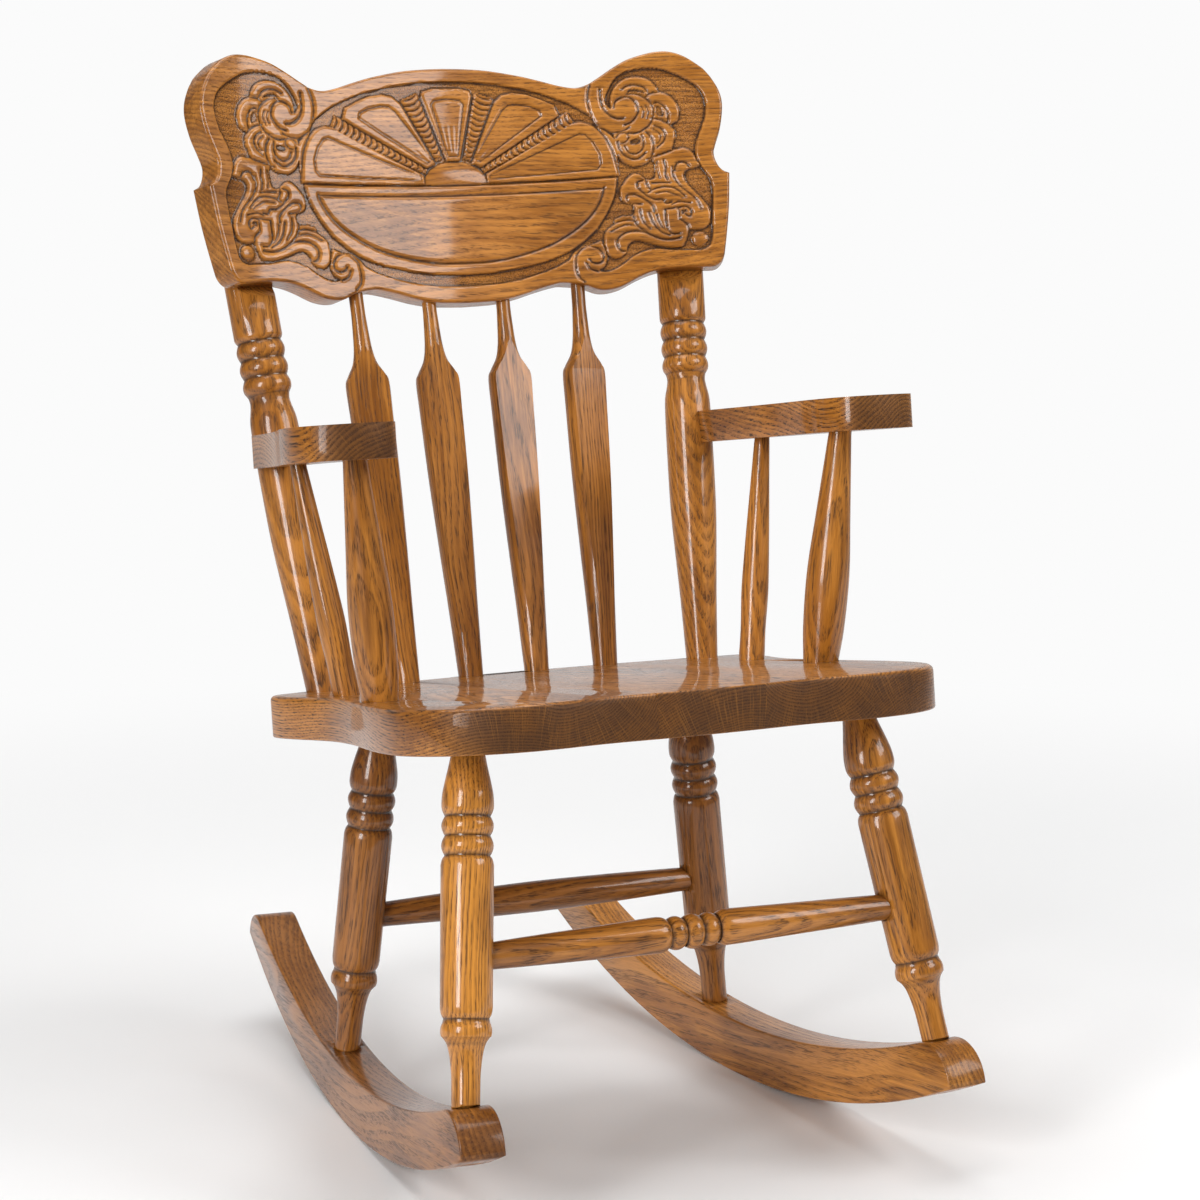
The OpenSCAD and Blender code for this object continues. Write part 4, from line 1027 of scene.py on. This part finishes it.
    def close(self, bm):
        """Runs the sides back from the pressed face, rounds them off and closes the back."""
        back = -CREST_THICK
        for inset, out in ((0.0, -3.0), (0.0, back + 1.4), (0.4, back + 0.4), (1.0, back)):
            rim = [e for e in bm.edges if e.is_boundary]
            made = bmesh.ops.extrude_edge_only(bm, edges=rim)["geom"]
            verts = [g for g in made if isinstance(g, bmesh.types.BMVert)]
            moves = {}
            for vert in verts:
                side = [e.other_vert(vert).co for e in vert.link_edges if e.is_boundary]
                run = side[0] - side[1]
                away = Vector((run.y, -run.x, 0))
                away.normalize()
                if away.dot(Vector((vert.co.x, vert.co.y - FOOT, 0))) < 0:
                    away.negate()
                moves[vert] = away
            for vert, away in moves.items():
                vert.co -= away * inset
                vert.co.z = out
        rim = [e for e in bm.edges if e.is_boundary]
        long = sorted({v for e in rim for v in e.verts}, key=lambda v: v.co.x)
        left, right = long[0].co.x + 12, long[-1].co.x - 12
        chains = [
            [e for e in rim
             if all(left < v.co.x < right and (v.co.y > 100) == upper for v in e.verts)]
            for upper in (False, True)]
        bmesh.ops.bridge_loops(bm, edges=chains[0] + chains[1])
        bmesh.ops.holes_fill(bm, edges=[e for e in bm.edges if e.is_boundary], sides=0)
        for layer in bm.verts.layers.float.values():
            for vert in bm.verts:
                if vert.co.z < -2.9:
                    vert[layer] = 0.0
        bmesh.ops.recalc_face_normals(bm, faces=bm.faces)
        if any(not e.is_manifold for e in bm.edges):
            raise RuntimeError("the crest rail isn't closed")


class OBJECT_OT_chair_stage(bpy.types.Operator):
    """Sets the floor, the backdrop, the lights and the camera"""

    bl_idname = "object.chair_stage"
    bl_label = "Stage"

    def execute(self, context):
        self.sweep()
        self.lamp("left", (-2.4, -1.5, 1.2), (0, 0, 0.4), (0.8, 1.7), 66.0)
        self.lamp("right", (2.0, -1.9, 2.1), (0, 0, 0.5), (1.8, 1.4), 58.0)
        self.lamp("top", (-0.1, 0.3, 2.6), (0, 0, 0.2), (2.4, 2.0), 48.0)
        world = bpy.data.worlds.new("studio")
        world.use_nodes = True
        self.surround(world.node_tree)
        context.scene.world = world
        context.scene.view_settings.view_transform = "Standard"
        camera = placed("camera", bpy.data.cameras.new("camera"))
        camera.data.lens = LENS
        camera.data.sensor_width = SENSOR
        camera.data.clip_end = 50
        camera.location = CAMERA_PLACE
        camera.rotation_euler = Vector(CAMERA_WAY).to_track_quat("-Z", "Y").to_euler()
        context.scene.camera = camera
        return {"FINISHED"}

    def surround(self, tree):
        """A faint even glow on the chair; past the backdrop the camera sees white."""
        glow = tree.nodes["Background"]
        glow.inputs[0].default_value = (1, 1, 1, 1)
        glow.inputs[1].default_value = 0.09
        white = tree.nodes.new("ShaderNodeBackground")
        white.inputs[0].default_value = WHITE
        both = tree.nodes.new("ShaderNodeMixShader")
        tree.links.new(tree.nodes.new("ShaderNodeLightPath").outputs["Is Camera Ray"], both.inputs[0])
        tree.links.new(glow.outputs[0], both.inputs[1])
        tree.links.new(white.outputs[0], both.inputs[2])
        tree.links.new(both.outputs[0], tree.nodes["World Output"].inputs[0])

    def lamp(self, name, place, aim, size, power):
        """A lamp's place, aim and size are in metres and its power in watts."""
        light = bpy.data.lights.new(name, "AREA")
        light.shape = "RECTANGLE"
        light.size, light.size_y = size
        light.energy = power
        lamp = placed(name, light)
        lamp.location = place
        lamp.rotation_euler = (Vector(aim) - Vector(place)).to_track_quat("-Z", "Y").to_euler()

    def sweep(self):
        """A floor that bends up into a backdrop, facing the camera; it is white past the chair."""
        bm = bmesh.new()
        bmesh.ops.create_grid(bm, x_segments=2, y_segments=48, size=1.0)
        for vert in bm.verts:
            way = (vert.co.y + 1) / 2 * SWEEP_RUN + SWEEP_START
            bow = min(max(way - BOW_START, 0.0), BOW_RUN) / BOW_RUN
            turn = bow * math.pi / 2
            rest = max(way - BOW_START - BOW_RUN, 0.0)
            vert.co = (
                vert.co.x * SWEEP_HALF,
                min(way, BOW_START) + BOW_RADIUS * math.sin(turn),
                BOW_RADIUS * (1 - math.cos(turn)) + rest)
        turned = Vector((0, 1, 0)).rotation_difference(Vector(SWEEP_WAY))
        bmesh.ops.rotate(bm, verts=bm.verts, cent=(0, 0, 0), matrix=turned.to_matrix())
        bmesh.ops.recalc_face_normals(bm, faces=bm.faces)
        mesh = bpy.data.meshes.new("sweep")
        bm.to_mesh(mesh)
        bm.free()
        mesh.shade_smooth()
        s = Shade("sweep_paper")
        floor = settings().floor
        tone = s.mix(s.speckle(3.0, 1.0) * 0.1, floor, [0.98 * c for c in floor])
        paper = s.node("BsdfPrincipled", inputs={
            "Base Color": tone, "Roughness": 0.9, "Specular IOR Level": 0.1})
        white = s.node("Emission", inputs={"Color": WHITE, "Strength": 1.0})
        place = s.value("TexCoord", output=3)
        away = s.value("VectorMath", {"operation": "LENGTH"}, {0: place}, output=1)
        seen = s.value("LightPath", output=0)
        both = s.node("MixShader", inputs={0: seen * s.step(away, 0.45, 1.5)})
        s.tree.links.new(paper.outputs[0], both.inputs[1])
        s.tree.links.new(white.outputs[0], both.inputs[2])
        mesh.materials.append(s.finish(both))
        placed("sweep", mesh)


class VIEW3D_PT_chair(bpy.types.Panel):
    """Lists the chair's pieces in the sidebar"""

    bl_label = "Rocking chair"
    bl_space_type = "VIEW_3D"
    bl_region_type = "UI"
    bl_category = "Chair"

    def draw(self, context):
        for name in ChairSettings.__annotations__:
            self.layout.prop(context.scene.chair, name)
        for operator in OPERATORS:
            self.layout.operator(operator.bl_idname)


OPERATORS = (
    OBJECT_OT_chair_crest, OBJECT_OT_chair_back, OBJECT_OT_chair_seat, OBJECT_OT_chair_arms,
    OBJECT_OT_chair_legs, OBJECT_OT_chair_rockers, OBJECT_OT_chair_fixings, OBJECT_OT_chair_stage,
)
CLASSES = (ChairSettings, *OPERATORS, VIEW3D_PT_chair)


def register():
    for kind in CLASSES:
        bpy.utils.register_class(kind)
    bpy.types.Scene.chair = bpy.props.PointerProperty(type=ChairSettings)


def unregister():
    del bpy.types.Scene.chair
    for kind in reversed(CLASSES):
        bpy.utils.unregister_class(kind)


def main():
    register()
    for operator in OPERATORS:
        group, name = operator.bl_idname.split(".")
        if getattr(getattr(bpy.ops, group), name)() != {"FINISHED"}:
            raise RuntimeError(operator.bl_label + " wasn't made")


if __name__ == "__main__":
    main()
